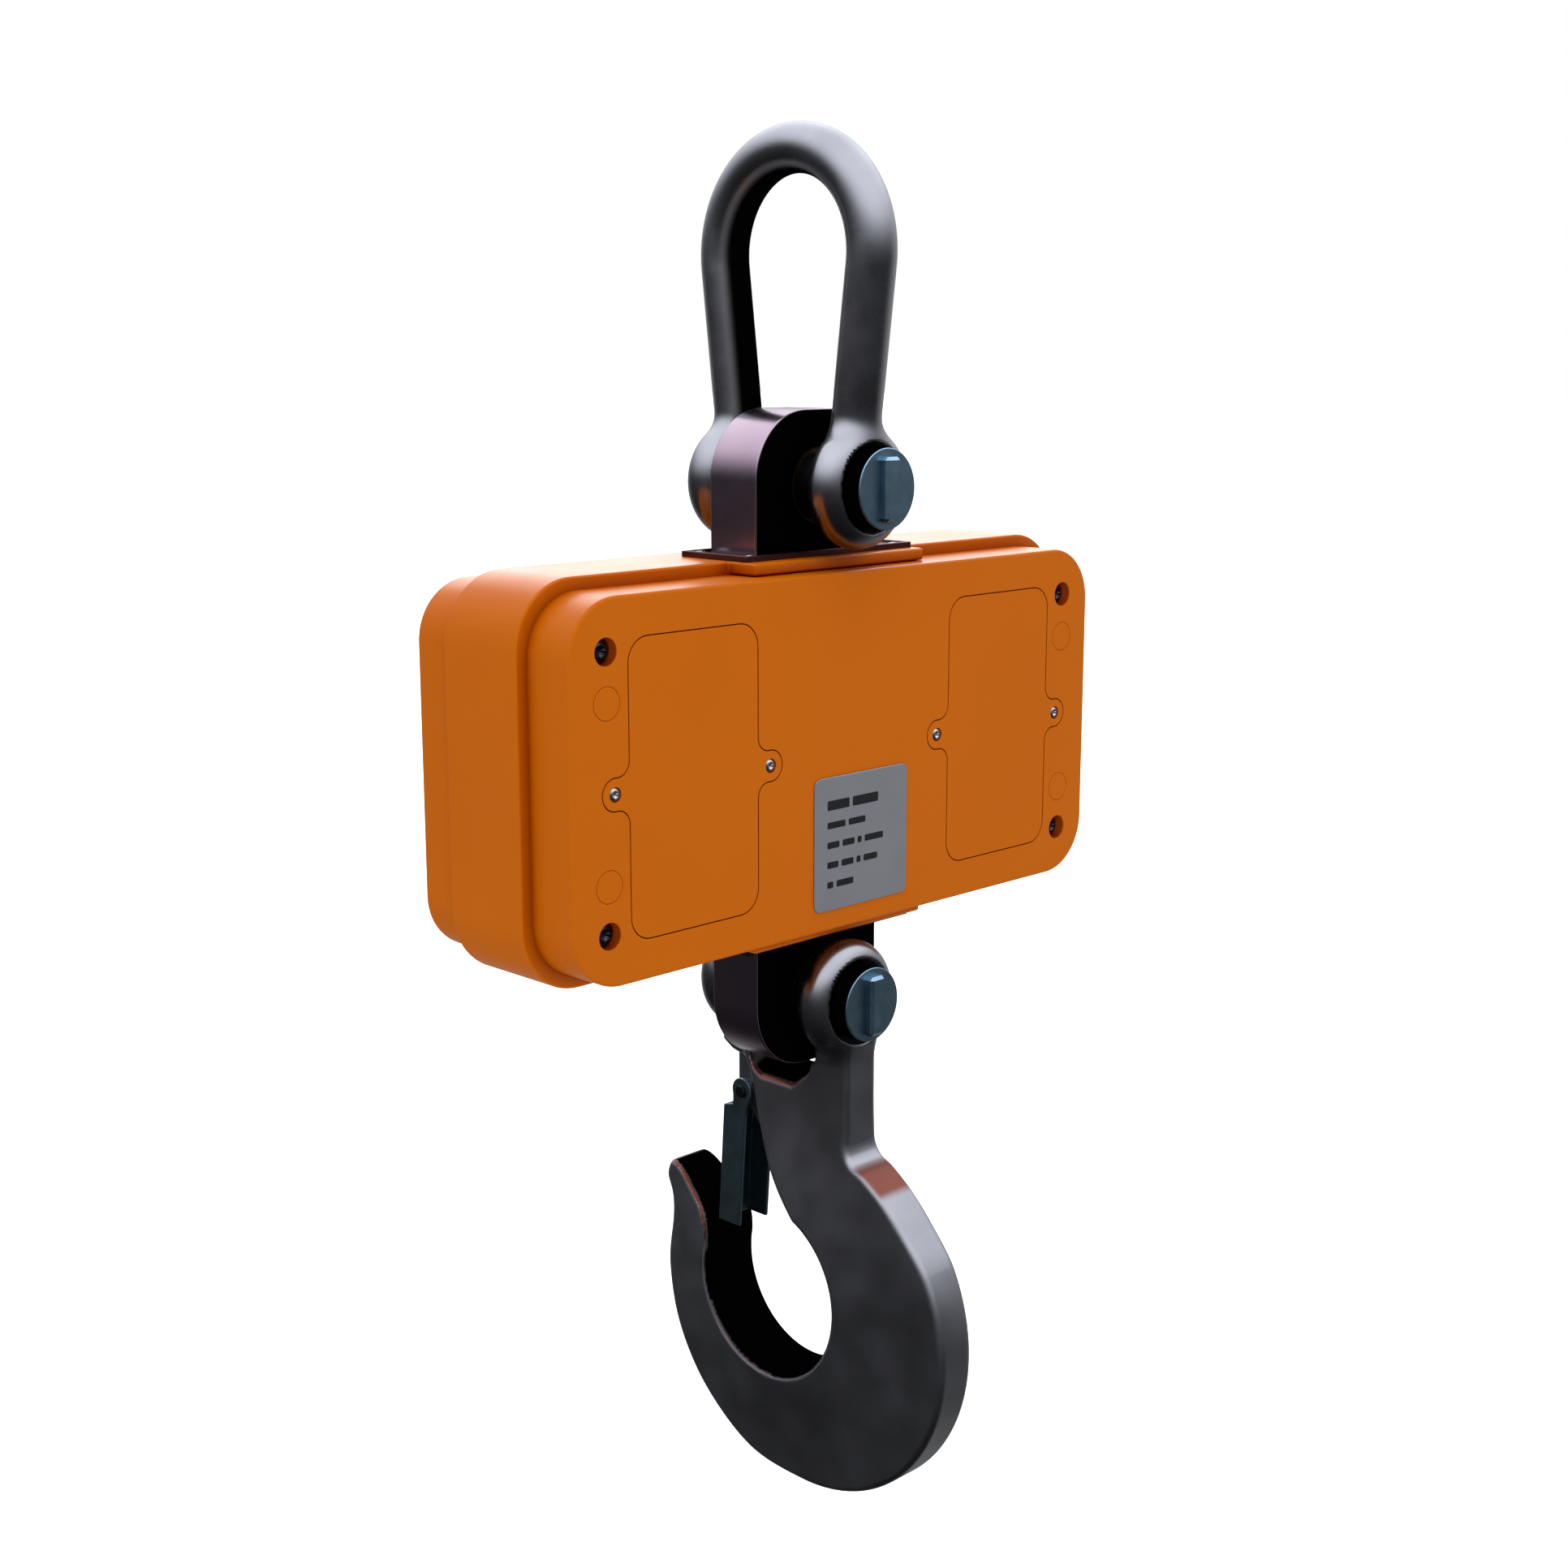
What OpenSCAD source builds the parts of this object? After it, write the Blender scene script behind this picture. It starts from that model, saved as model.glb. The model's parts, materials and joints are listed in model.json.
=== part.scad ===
// Hanging crane scale: a shackle above, a flat steel load cell through a cast
// housing, and a clevis hook with a sheet-steel latch below.
// Origin: inside crown of the shackle bow. +Z up, display towards -Y.

/* [Suspension] */
// From the bow's inside crown down to the shackle pin's axis
bow_drop = 104; // [98:1:130]
// Between the two pin axes
pin_gap = 180; // [178:1:200]
// Radius of the bow's round bar
bar_r = 8.5; // [7.5:0.5:9]
// Half the widest spacing of the bow's bar centres
bow_half = 35; // [34:1:38]
// How far the bow's legs lean inwards towards the ears, in degrees
leg_lean = 7; // [6:0.5:8]
// Radius of both clevis pins
pin_r = 9.45; // [9.45:0.05:9.5]

/* [Housing] */
// Width of the housing's middle band
box_w = 265; // [260:1:290]
// Height of the housing's middle band
box_h = 133; // [131:1:134]
// Corner radius of the middle band
corner_r = 23; // [21:1:26]
// Front ledge of the band, ahead of the load cell's middle plane
band_front = 26.5; // [26:0.5:30]
// Rear ledge of the band, behind the load cell's middle plane
band_back = 10; // [10:0.5:11]
// Front face of the front cover
face_front = 46; // [46:0.5:50]
// Rear face of the back cover
face_back = 30; // [30:0.5:32]
// Thickness of the cast walls
wall = 4; // [3.5:0.5:4.5]

/* [Load cell] */
// Width of the load cell's plate
cell_w = 61; // [58:1:62]
// Thickness of the load cell's plate
cell_t = 22.4; // [20:0.2:23]
// How far the plate reaches past each pin axis
cell_past = 26; // [24:1:27]

/* [Battery lids] */
// Width of a battery lid without its tabs
lid_w = 56; // [52:1:58]
// Height of a battery lid
lid_h = 97; // [90:1:100]
// Middle of a battery lid from the housing's middle
lid_x = 76; // [75:1:78]

/* [Hook] */
// Thickness of the hook's shank and back
hook_t = 16; // [14:0.5:18]
// Radius of the hook's bowl
bowl_r = 33; // [31:0.5:34]

/* [Keys] */
// Travel of a key
key_travel = 1; // [0.6:0.1:1.2]

/* [Hidden] */

$fn = 64;
eps = 0.01;
z_top = -bow_drop;
z_box = z_top - pin_gap / 2;
z_low = z_top - pin_gap;
fit = 0.05;

// Clevis ears: a thick ring with a round outer side, and a counterbore for the pin's head
ear_r = 21;
ear_t = 16;
ear_core_r = ear_r - ear_t / 2;
cbore_r = 15;
cbore_deep = 7.5;
top_ear_y = 29.5;
low_ear_y = 24.5;
head_proud = 5.5;
bar_w = 7;
bar_h = 21.5;
bar_proud = 3.2;
washer_r = 14;
washer_t = 1.5;
nut_r = 13.6;
nut_t = 5;
pin_tail = 4.4;
split_r = 1.5;
split_eye_r = 2.6;
split_turn = -45;
spacer_r = 12;
// Height of the legs' lower ends over the pin's axis
leg_end = 15;

bush_r = 12.5;
cell_corner_r = 24;
waist_w = 46;
waist_h = 60;
gauge_r = 11;
gauge_deep = 5;

cover_in = 4.4;
front_in = 4;
cover_r = 20;
gasket_t = 1;
screw_x = 113;
screw_z = 45;
recess_r = 4.4;
recess_deep = 5;
screw_shaft_r = 2;
slot_gap = 0.8;

label_size = 47;
label_x = -2;
label_z = -31.3;
plug_r = 5.4;
plug_z = 29;

shelf_w = 84;
shelf_y = 22.5;
plate_w = 81.6;
plate_d = 32;
plate_t = 2;
plate_rim = 1.6;
plate_sunk = 0.8;
plate_y = 1.5;
plate_screw_x = 36;
plate_screw_y = 12;

lid_t = 3;
lid_seal = 0.8;
lid_screw_r = 1.3;
lid_head_r = 2.4;
lid_gap = 0.3;
lid_r = 8;
tab_r = 5.2;
tab_out = 6;
tab_fillet = 5;
well_w = 50;
well_h = 88;
well_back = 6;
well_wall = 2;

window_w = 178;
window_h = 56;
window_z = 17;
key_z = -38;
key_w = 26;
key_h = 13;
key_xs = [-57, -19, 19, 57];
key_proud = 1.6;
board_t = 1.6;
post_x = 98;
post_z = 47;
spacer_x = 68;
spacer_z = 34;
digit_pitch = 33;
display_y = -36;
main_y = -29;
bracket_z = 42;
bracket_x = 52;
bracket_t = 8;
bolt_x = 14;

// Hook outline in (y, z) about the hook pin's axis
bowl_y = -2.7;
bowl_z = -116;
// The hook thickens inwards from flank_r about the bowl, to bowl_t at the bowl's edge
bowl_t = 27;
flank_r = 71;
back_y = 12;
back_z = -122;
back_r = 67.3;
rib_t = 7.2;
pivot_y = -20.4;
pivot_z = -44.5;
pivot_r = 1.6;
latch_w = 15.6;
sheet = 1.5;

// ---------- helpers ----------
module along_y() { rotate([-90, 0, 0]) children(); }

// Cylinder about an axis along Y, from y0 to y1
module rod_y(r, y0, y1, x = 0, z = 0) {
    translate([x, y0, z]) along_y() cylinder(h = y1 - y0, r = r);
}

// Block round the load cell's plate, a gap wider on every side and h high, about height z
module cell_block(gap, h, z) {
    translate([0, 0, z]) cube([cell_w + 2 * gap, cell_t + 2 * gap, h], center = true);
}

// A 2D shape drawn in (y, z), given thickness t about x = 0
module plate_x(t) { rotate([90, 0, 90]) linear_extrude(t, center = true) children(); }

// A 2D shape drawn in (x, z) about the housing's middle, from y0 to y1
module slab(y0, y1) {
    translate([0, y1, z_box]) rotate([90, 0, 0]) linear_extrude(y1 - y0) children();
}

module rounded(w, h, r) {
    square([w - 2 * r, h], center = true);
    square([w, h - 2 * r], center = true);
    for (x = [-1, 1], z = [-1, 1]) translate([x * (w / 2 - r), z * (h / 2 - r)]) circle(r);
}

module four(x, z) { for (i = [-1, 1], k = [-1, 1]) translate([i * x, 0, k * z]) children(); }

function arc(cy, cz, r, a0, a1, n) =
    [for (i = [0 : n]) let (a = a0 + (a1 - a0) * i / n) [cy + r * cos(a), cz + r * sin(a)]];

// Points along a smooth curve through the points p, n steps to a stretch
function curve(p, n) = concat(
    [for (i = [1 : len(p) - 3], k = [0 : n - 1]) let (t = k / n)
        0.5 * (2 * p[i] + (p[i + 1] - p[i - 1]) * t
        + (2 * p[i - 1] - 5 * p[i] + 4 * p[i + 1] - p[i + 2]) * pow(t, 2)
        + (3 * p[i] - p[i - 1] - 3 * p[i + 1] + p[i + 2]) * pow(t, 3))],
    [p[len(p) - 2]]);

// ---------- clevis hardware ----------
// Two ear rings at y = +/-ear_y about the pin axis at height z
module ears(ear_y, z) {
    for (s = [-1, 1]) translate([0, s * ear_y, z]) along_y() rotate_extrude() {
        translate([ear_core_r, 0]) circle(ear_t / 2);
        translate([0, -ear_t / 2]) square([ear_core_r, ear_t]);
    }
}

module ear_bores(ear_y, z) {
    outer = ear_y + ear_t / 2;
    rod_y(pin_r + fit, -outer - 1, outer + 1, 0, z);
    for (s = [0, 1]) mirror([0, s, 0]) rod_y(cbore_r, outer - cbore_deep, outer + 1, 0, z);
}

// Pin with a round head and a raised grip bar, and a tail for the nut and split pin
module clevis_pin(ear_y, z, head_r) {
    outer = ear_y + ear_t / 2;
    seat = outer - cbore_deep;
    tail = seat + washer_t + nut_t + pin_tail;
    difference() {
        union() {
            rod_y(pin_r, -tail, seat + 1, 0, z);
            rod_y(head_r, seat, outer + head_proud, 0, z);
            translate([-bar_w / 2, outer + head_proud - 1, z - bar_h / 2])
                cube([bar_w, bar_proud + 1, bar_h]);
        }
        translate([0, -tail + pin_tail / 2, z]) rotate([0, split_turn, 0])
            cylinder(h = 30, r = split_r + fit, center = true);
    }
}

module spacers(ear_y, z) {
    inner = ear_y - ear_t / 2;
    for (s = [0, 1]) mirror([0, s, 0]) difference() {
        rod_y(spacer_r, cell_t / 2 + 0.3, inner, 0, z);
        rod_y(pin_r + fit, 0, inner + 1, 0, z);
    }
}

module pin_washer(ear_y, z) {
    seat = ear_y + ear_t / 2 - cbore_deep;
    difference() {
        rod_y(washer_r, -seat - washer_t, -seat, 0, z);
        rod_y(pin_r + fit, -seat - washer_t - 1, -seat + 1, 0, z);
    }
}

module pin_nut(ear_y, z) {
    seat = ear_y + ear_t / 2 - cbore_deep + washer_t;
    difference() {
        translate([0, -seat - nut_t, z]) along_y() cylinder(h = nut_t, r = nut_r, $fn = 6);
        rod_y(pin_r + fit, -seat - nut_t - 1, -seat + 1, 0, z);
    }
}

module split_pin(ear_y, z) {
    y = -(ear_y + ear_t / 2 - cbore_deep + washer_t + nut_t + pin_tail / 2);
    reach = pin_r + 4;
    translate([0, y, z]) rotate([0, split_turn, 0]) {
        translate([0, 0, -reach]) cylinder(h = 2 * reach, r = split_r);
        translate([0, 0, reach + split_eye_r]) along_y() rotate_extrude()
            translate([split_eye_r, 0]) circle(1.2);
    }
}

// ---------- shackle ----------
module shackle() {
    crown_z = z_top + bow_drop + bar_r - bow_half;
    leg_top = [bow_half * cos(leg_lean), crown_z - bow_half * sin(leg_lean)];
    leg_len = (leg_top[1] - z_top - leg_end) / cos(leg_lean);
    color("dimgray") difference() {
        union() {
            translate([0, 0, crown_z]) rotate([90, 0, 90]) rotate([0, 0, -leg_lean])
                rotate_extrude(angle = 180 + 2 * leg_lean, $fn = 48)
                    translate([bow_half, 0]) circle(bar_r, $fn = 48);
            for (s = [0, 1]) mirror([0, s, 0])
                translate([0, leg_top[0], leg_top[1]]) rotate([180 - leg_lean, 0, 0])
                    translate([0, 0, -2]) cylinder(h = leg_len + 2, r = bar_r + 0.15);
            ears(top_ear_y, z_top);
        }
        ear_bores(top_ear_y, z_top);
    }
}

module shackle_pin() { color("slategray") clevis_pin(top_ear_y, z_top, 13.7); }
module shackle_spacers() { color("darkslategray") spacers(top_ear_y, z_top); }
module shackle_pin_washer() { color("silver") pin_washer(top_ear_y, z_top); }
module shackle_pin_nut() { color("silver") pin_nut(top_ear_y, z_top); }
module shackle_split_pin() { color("silver") split_pin(top_ear_y, z_top); }

// ---------- load cell ----------
module load_cell() {
    h = pin_gap + 2 * cell_past;
    color("dimgray") difference() {
        slab(-cell_t / 2, cell_t / 2) difference() {
            rounded(cell_w, h, cell_corner_r);
            for (s = [-1, 1]) translate([s * (waist_w + cell_w) / 4, 0])
                square([(cell_w - waist_w) / 2 + eps, waist_h], center = true);
        }
        for (z = [z_top, z_low]) rod_y(bush_r, -cell_t, cell_t, 0, z);
        for (s = [0, 1]) mirror([0, s, 0])
            rod_y(gauge_r, cell_t / 2 - gauge_deep, cell_t, 0, z_box);
        for (x = [-bolt_x, bolt_x], z = [-bracket_z, bracket_z])
            rod_y(2.5, -cell_t, 2, x, z_box + z);
        translate([0, 0, z_box]) rotate([0, 90, 0]) cylinder(h = waist_w, r = 2.5);
        rod_y(2.5, -gauge_r, gauge_r, 0, z_box);
    }
}

module bush(z) {
    difference() {
        rod_y(bush_r, -cell_t / 2, cell_t / 2, 0, z);
        rod_y(pin_r + fit, -cell_t, cell_t, 0, z);
    }
}

module upper_bush() { color("goldenrod") bush(z_top); }
module lower_bush() { color("goldenrod") bush(z_low); }

module gauge_covers() {
    color("silver") for (s = [0, 1]) mirror([0, s, 0])
        rod_y(gauge_r - 0.1, cell_t / 2 - 1.5, cell_t / 2, 0, z_box);
}

// Cross bar that hangs the housing on the load cell
module bracket(z) {
    y0 = -cell_t / 2 - bracket_t;
    color("silver") difference() {
        translate([-bracket_x - 9, y0, z_box + z - 8])
            cube([2 * bracket_x + 18, bracket_t, 16]);
        for (x = [-bracket_x, -bolt_x, bolt_x, bracket_x])
            rod_y(2.6, y0 - 1, y0 + bracket_t + 1, x, z_box + z);
    }
}

module upper_bracket() { bracket(bracket_z); }
module lower_bracket() { bracket(-bracket_z); }

module bracket_bolts() {
    y0 = -cell_t / 2 - bracket_t;
    color("silver") for (x = [-bracket_x, -bolt_x, bolt_x, bracket_x], z = [-bracket_z, bracket_z]) {
        rod_y(2.45, y0 - 1, y0 + bracket_t + 10, x, z_box + z);
        rod_y(4.5, y0 - 4, y0, x, z_box + z);
    }
}

// ---------- housing ----------
module main_housing() {
    cover_top = box_h / 2 - cover_in;
    color("darkorange") difference() {
        union() {
            slab(-band_front, band_back) rounded(box_w, box_h, corner_r);
            for (s = [-1, 1]) translate([-shelf_w / 2, band_back - 1,
                z_box + (s > 0 ? cover_top + 0.2 : -box_h / 2)])
                cube([shelf_w, shelf_y - band_back + 1, cover_in - 0.2]);
        }
        difference() {
            slab(-band_front + wall, band_back - wall)
                rounded(box_w - 2 * wall, box_h - 2 * wall, corner_r - wall);
            for (x = [-bracket_x, bracket_x], s = [-1, 1])
                translate([x - 8, -cell_t / 2, z_box + (s > 0 ? bracket_z - 8 : -box_h / 2)])
                    cube([16, 14, box_h / 2 - bracket_z + 8]);
            for (i = [-1, 1], k = [-1, 1])
                rod_y(6, -band_front, band_back, i * screw_x, z_box + k * screw_z);
        }
        slab(-band_front - 1, -band_front + wall + eps)
            rounded(box_w - 38, box_h - 38, corner_r - 14);
        slab(band_back - wall - eps, band_back + 1)
            rounded(box_w - 38, box_h - 38, corner_r - 14);
        cell_block(slot_gap, 2 * box_h, z_box);
        for (x = [-bracket_x, bracket_x], z = [-bracket_z, bracket_z])
            rod_y(2.5, -cell_t, -cell_t / 2 + 11, x, z_box + z);
        for (i = [-1, 1], k = [-1, 1]) for (y = [-band_front - 1, band_back - 9])
            rod_y(screw_shaft_r, y, y + 10, i * screw_x, z_box + k * screw_z);
        at_plate_screws() translate([0, 0, -3.6]) cylinder(h = 4.6, r = 1.2);
        below() at_plate_screws() translate([0, 0, -3.6]) cylinder(h = 4.6, r = 1.2);
    }
}

module at_plate_screws() {
    for (s = [-1, 1], t = [-1, 1])
        translate([s * plate_screw_x, plate_y + t * plate_screw_y, z_box + box_h / 2]) children();
}

// Dark flange with a raised rim round the load cell, on the housing's top
module seal_plate() {
    difference() {
        translate([-plate_w / 2, plate_y - plate_d / 2, z_box + box_h / 2])
            cube([plate_w, plate_d, plate_t]);
        translate([-plate_w / 2 + plate_rim, plate_y - plate_d / 2 + plate_rim,
            z_box + box_h / 2 + plate_t - plate_sunk])
            cube([plate_w - 2 * plate_rim, plate_d - 2 * plate_rim, 1]);
        cell_block(slot_gap, 8, z_box + box_h / 2);
        at_plate_screws() translate([0, 0, -1]) cylinder(h = plate_t + 2, r = 1.3);
    }
}

module below() { translate([0, 0, 2 * z_box]) mirror([0, 0, 1]) children(); }

module top_seal_plate() { color("#2a1d1a") seal_plate(); }
module bottom_seal_plate() { color("#2a1d1a") below() seal_plate(); }

// Rubber ring that fills the slot round the load cell
module seal() {
    color("black") difference() {
        cell_block(slot_gap - eps, wall, z_box + (box_h - wall) / 2);
        cell_block(0, 2 * wall, z_box + (box_h - wall) / 2);
    }
}

module top_seal() { seal(); }
module bottom_seal() { below() seal(); }

module seal_plate_screws() {
    color("silver") for (s = [0, 1]) translate([0, 0, 2 * s * z_box]) mirror([0, 0, s])
        at_plate_screws() {
            translate([0, 0, plate_t - plate_sunk]) cylinder(h = 0.7, r = 2.2);
            translate([0, 0, -3.5]) cylinder(h = plate_t - plate_sunk + 3.6, r = 1.15);
        }
}

// ---------- back cover and batteries ----------
// Outline of a lid: a rounded plate with a round screw tab on each side
module lid_outline(grow = 0) {
    reach = tab_r + tab_fillet;
    rise = sqrt(pow(reach, 2) - pow(tab_out - tab_fillet, 2));
    rounded(lid_w + 2 * grow, lid_h + 2 * grow, lid_r + grow);
    for (s = [0, 1]) mirror([s, 0]) translate([lid_w / 2, 0]) {
        difference() {
            polygon([[-1, -rise], [tab_fillet, -rise], [tab_out, 0], [tab_fillet, rise], [-1, rise]]);
            for (k = [-1, 1]) translate([tab_fillet, k * rise]) circle(tab_fillet - grow - eps);
        }
        translate([tab_out, 0]) circle(tab_r + grow);
    }
}

module back_cover() {
    w = box_w - 2 * cover_in;
    h = box_h - 2 * cover_in;
    y0 = band_back + gasket_t;
    color("darkorange") difference() {
        union() {
            difference() {
                slab(y0, face_back) rounded(w, h, cover_r);
                slab(y0 - 1, face_back - wall)
                    rounded(w - 2 * wall, h - 2 * wall, cover_r - wall);
            }
            for (i = [-1, 1], k = [-1, 1])
                rod_y(recess_r + 2.5, y0, face_back - 1, i * screw_x, z_box + k * screw_z);
            for (s = [-1, 1]) translate([s * lid_x, 0, 0]) {
                slab(face_back - lid_t - 4, face_back - 1) lid_outline(2);
                slab(well_back - well_wall, face_back - 1)
                    square([well_w + 2 * well_wall, well_h + 2 * well_wall], center = true);
            }
        }
        cell_block(slot_gap, 2 * box_h, z_box);
        for (s = [-1, 1]) translate([s * lid_x, 0, 0]) {
            slab(face_back - lid_t - lid_seal, face_back + 1) lid_outline(lid_gap);
            slab(well_back, face_back) square([well_w, well_h], center = true);
            for (t = [-1, 1]) rod_y(lid_screw_r, face_back - lid_t - 3, face_back,
                t * (lid_w / 2 + tab_out), z_box);
        }
        for (i = [-1, 1], k = [-1, 1]) {
            rod_y(recess_r, face_back - recess_deep, face_back + 1,
                i * screw_x, z_box + k * screw_z);
            rod_y(screw_shaft_r, y0 - 1, face_back, i * screw_x, z_box + k * screw_z);
            rod_y(plug_r, face_back - 1.5, face_back + 1, i * screw_x, z_box + k * plug_z);
        }
    }
}

// Flat rubber ring between a cover and the band, set back a little from the cover's edge
module gasket(y0, inset) {
    color("black") difference() {
        slab(y0, y0 + gasket_t) difference() {
            rounded(box_w - 2 * inset, box_h - 2 * inset, cover_r - 1);
            rounded(box_w - 2 * inset - 5, box_h - 2 * inset - 5, cover_r - 3);
        }
        cell_block(slot_gap, 2 * box_h, z_box);
    }
}

module back_gasket() { gasket(band_back, cover_in + 0.8); }
module front_gasket() { gasket(-band_front - gasket_t, front_in + 0.8); }

// One domed screw with a star recess, its head facing +Y at y
module cover_screw(y) {
    difference() {
        union() {
            rod_y(4.1, y, y + 1.4);
            translate([0, y + 1.4, 0]) along_y() intersection() {
                cylinder(h = 1.6, r = 4.1);
                translate([0, 0, -4.2]) sphere(5.6);
            }
        }
        rod_y(1.7, y + 1, y + 3);
    }
    rod_y(screw_shaft_r - fit, y - 23, y + eps);
}

module back_cover_screws() {
    color("dimgray") translate([0, 0, z_box]) four(screw_x, screw_z)
        cover_screw(face_back - recess_deep);
}

module front_cover_screws() {
    color("dimgray") translate([0, 0, z_box]) mirror([0, 1, 0]) four(screw_x, screw_z)
        cover_screw(face_front - recess_deep);
}

module cover_plugs() {
    color("darkorange") translate([0, 0, z_box]) four(screw_x, plug_z)
        rod_y(plug_r - 0.1, face_back - 1.5, face_back);
}

module rating_label() {
    color("gray") translate([label_x, 0, label_z]) slab(face_back, face_back + 0.5)
        rounded(label_size, label_size, 3);
}

module battery_lid(s) {
    color("darkorange") translate([s * lid_x, 0, 0]) difference() {
        slab(face_back - lid_t, face_back) lid_outline();
        for (t = [-1, 1]) {
            rod_y(lid_screw_r, 0, face_back, t * (lid_w / 2 + tab_out), z_box);
            rod_y(lid_head_r, face_back - 1.4, face_back + 1, t * (lid_w / 2 + tab_out), z_box);
        }
    }
}

module battery_lid_left() { battery_lid(-1); }
module battery_lid_right() { battery_lid(1); }

module battery_lid_gaskets() {
    y0 = face_back - lid_t - lid_seal;
    color("black") for (s = [-1, 1]) translate([s * lid_x, 0, 0]) slab(y0, y0 + lid_seal)
        difference() {
            rounded(lid_w - 1, lid_h - 1, lid_r);
            rounded(well_w + 1, well_h + 1, 3);
        }
}

module battery_lid_screws() {
    color("silver") for (s = [-1, 1], t = [-1, 1])
        translate([s * lid_x + t * (lid_w / 2 + tab_out), 0, z_box]) {
            difference() {
                rod_y(lid_head_r - 0.1, face_back - 1.4, face_back + 0.1);
                rod_y(1, face_back - 0.6, face_back + 1);
            }
            rod_y(lid_screw_r - fit, face_back - lid_t - 2.5, face_back - 1.3);
        }
}

module battery(s) {
    translate([s * lid_x, 0, 0]) slab(well_back, well_back + 19)
        rounded(well_w - 2, well_h - 4, 3);
}

module battery_left() { color("navy") battery(-1); }
module battery_right() { color("navy") battery(1); }

module battery_contacts() {
    color("gold") for (s = [-1, 1], k = [-1, 1], x = [-14, 14])
        translate([s * lid_x + x, well_back + 10, z_box + k * (well_h / 2 - 1)])
            cylinder(h = 2, r = 4, center = true);
}

// ---------- front cover, display and keys ----------
module front_cover() {
    w = box_w - 2 * front_in;
    h = box_h - 2 * front_in;
    y1 = -band_front - gasket_t;
    color("darkorange") difference() {
        union() {
            difference() {
                slab(-face_front, y1) rounded(w, h, cover_r);
                slab(-face_front + wall, y1 + 1)
                    rounded(w - 2 * wall, h - 2 * wall, cover_r - wall);
            }
            for (i = [-1, 1], k = [-1, 1]) {
                rod_y(recess_r + 2.5, -face_front + 1, y1, i * screw_x, z_box + k * screw_z);
                rod_y(4, -face_front + 1, display_y, i * post_x, z_box + k * post_z);
            }
        }
        translate([0, 0, window_z]) slab(-face_front - 1, -face_front + 2)
            rounded(window_w + 0.4, window_h + 0.4, 5.2);
        translate([0, 0, window_z]) slab(-face_front, -face_front + 5)
            rounded(window_w - 8, window_h - 8, 3);
        for (x = key_xs) translate([x, 0, key_z]) slab(-face_front - 1, -face_front + 5)
            rounded(key_w + 0.6, key_h + 0.6, 4.3);
        for (i = [-1, 1], k = [-1, 1]) {
            rod_y(recess_r, -face_front - 1, -face_front + recess_deep,
                i * screw_x, z_box + k * screw_z);
            rod_y(screw_shaft_r, -face_front, y1 + 1, i * screw_x, z_box + k * screw_z);
            rod_y(1.3, display_y - 5, display_y + 1, i * post_x, z_box + k * post_z);
        }
    }
}

module display_window() {
    color("#1c0a0c") translate([0, 0, window_z]) slab(-face_front, -face_front + 2)
        rounded(window_w, window_h, 5);
}

module display_board() {
    color("seagreen") difference() {
        slab(display_y, display_y + board_t) rounded(2 * post_x + 12, 2 * post_z + 12, 3);
        for (i = [-1, 1], k = [-1, 1])
            rod_y(1.3, display_y - 1, main_y, i * post_x, z_box + k * post_z);
    }
}

module digit_modules() {
    color("black") for (i = [-2 : 2]) translate([i * digit_pitch, 0, window_z])
        slab(display_y - 5, display_y) square([digit_pitch - 1, 44], center = true);
}

module main_board() {
    color("seagreen") difference() {
        slab(main_y, main_y + board_t) rounded(150, 80, 3);
        for (i = [-1, 1], k = [-1, 1]) rod_y(1.3, main_y - 1, main_y + 3, i * spacer_x, z_box + k * spacer_z);
    }
}

module board_spacers() {
    color("silver") translate([0, 0, z_box]) four(spacer_x, spacer_z) difference() {
        rod_y(3, display_y + board_t, main_y);
        rod_y(1.3, display_y, main_y + 1);
    }
}

module board_screws() {
    color("silver") translate([0, 0, z_box]) {
        four(spacer_x, spacer_z) {
            rod_y(2.6, main_y + board_t, main_y + board_t + 1.6);
            rod_y(1.25, main_y - 3, main_y + board_t + eps);
        }
        four(post_x, post_z) {
            rod_y(2.6, display_y + board_t, display_y + board_t + 1.6);
            rod_y(1.25, display_y - 4, display_y + board_t + eps);
        }
    }
}

module key_switches() {
    color("black") for (x = key_xs) {
        translate([x, 0, key_z]) slab(display_y - 1.6, display_y) square(6, center = true);
        rod_y(1.6, display_y - 2.2, display_y - 1.5, x, z_box + key_z);
    }
}

// A key: a rounded cap, an inner flange that keeps it in, and a stem over its switch
module key(x) {
    inside = -face_front + wall;
    translate([x, 0, key_z]) {
        slab(-face_front - key_proud, inside + 0.3) rounded(key_w, key_h, 4);
        slab(inside + 0.1, inside + 1.3) rounded(key_w + 3, key_h + 3, 5);
    }
    rod_y(2, inside + 1, display_y - 2.3 - key_travel, x, z_box + key_z);
}

module power_key() { color("firebrick") key(key_xs[0]); }
module tare_key() { color("dimgray") key(key_xs[1]); }
module hold_key() { color("dimgray") key(key_xs[2]); }
module unit_key() { color("dimgray") key(key_xs[3]); }

// ---------- leads inside the housing ----------
// From the gauge passage in the cell's side, round a bend, to the main board
module load_cell_cable() {
    bend = 8;
    straight = cell_w / 2 + 1;
    color("black") translate([0, 0, z_box]) {
        translate([12, 0, 0]) rotate([0, 90, 0]) cylinder(h = straight - 12, r = 2);
        translate([straight, -bend, 0]) rotate_extrude(angle = 90)
            translate([bend, 0]) circle(2);
        rod_y(2, main_y + board_t, -bend, straight + bend, 0);
    }
}

module battery_cables() {
    color("red") for (s = [-1, 1], z = [-16, -22])
        rod_y(1.4, main_y + board_t, well_back - well_wall, s * 70, z_box + z);
}

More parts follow.
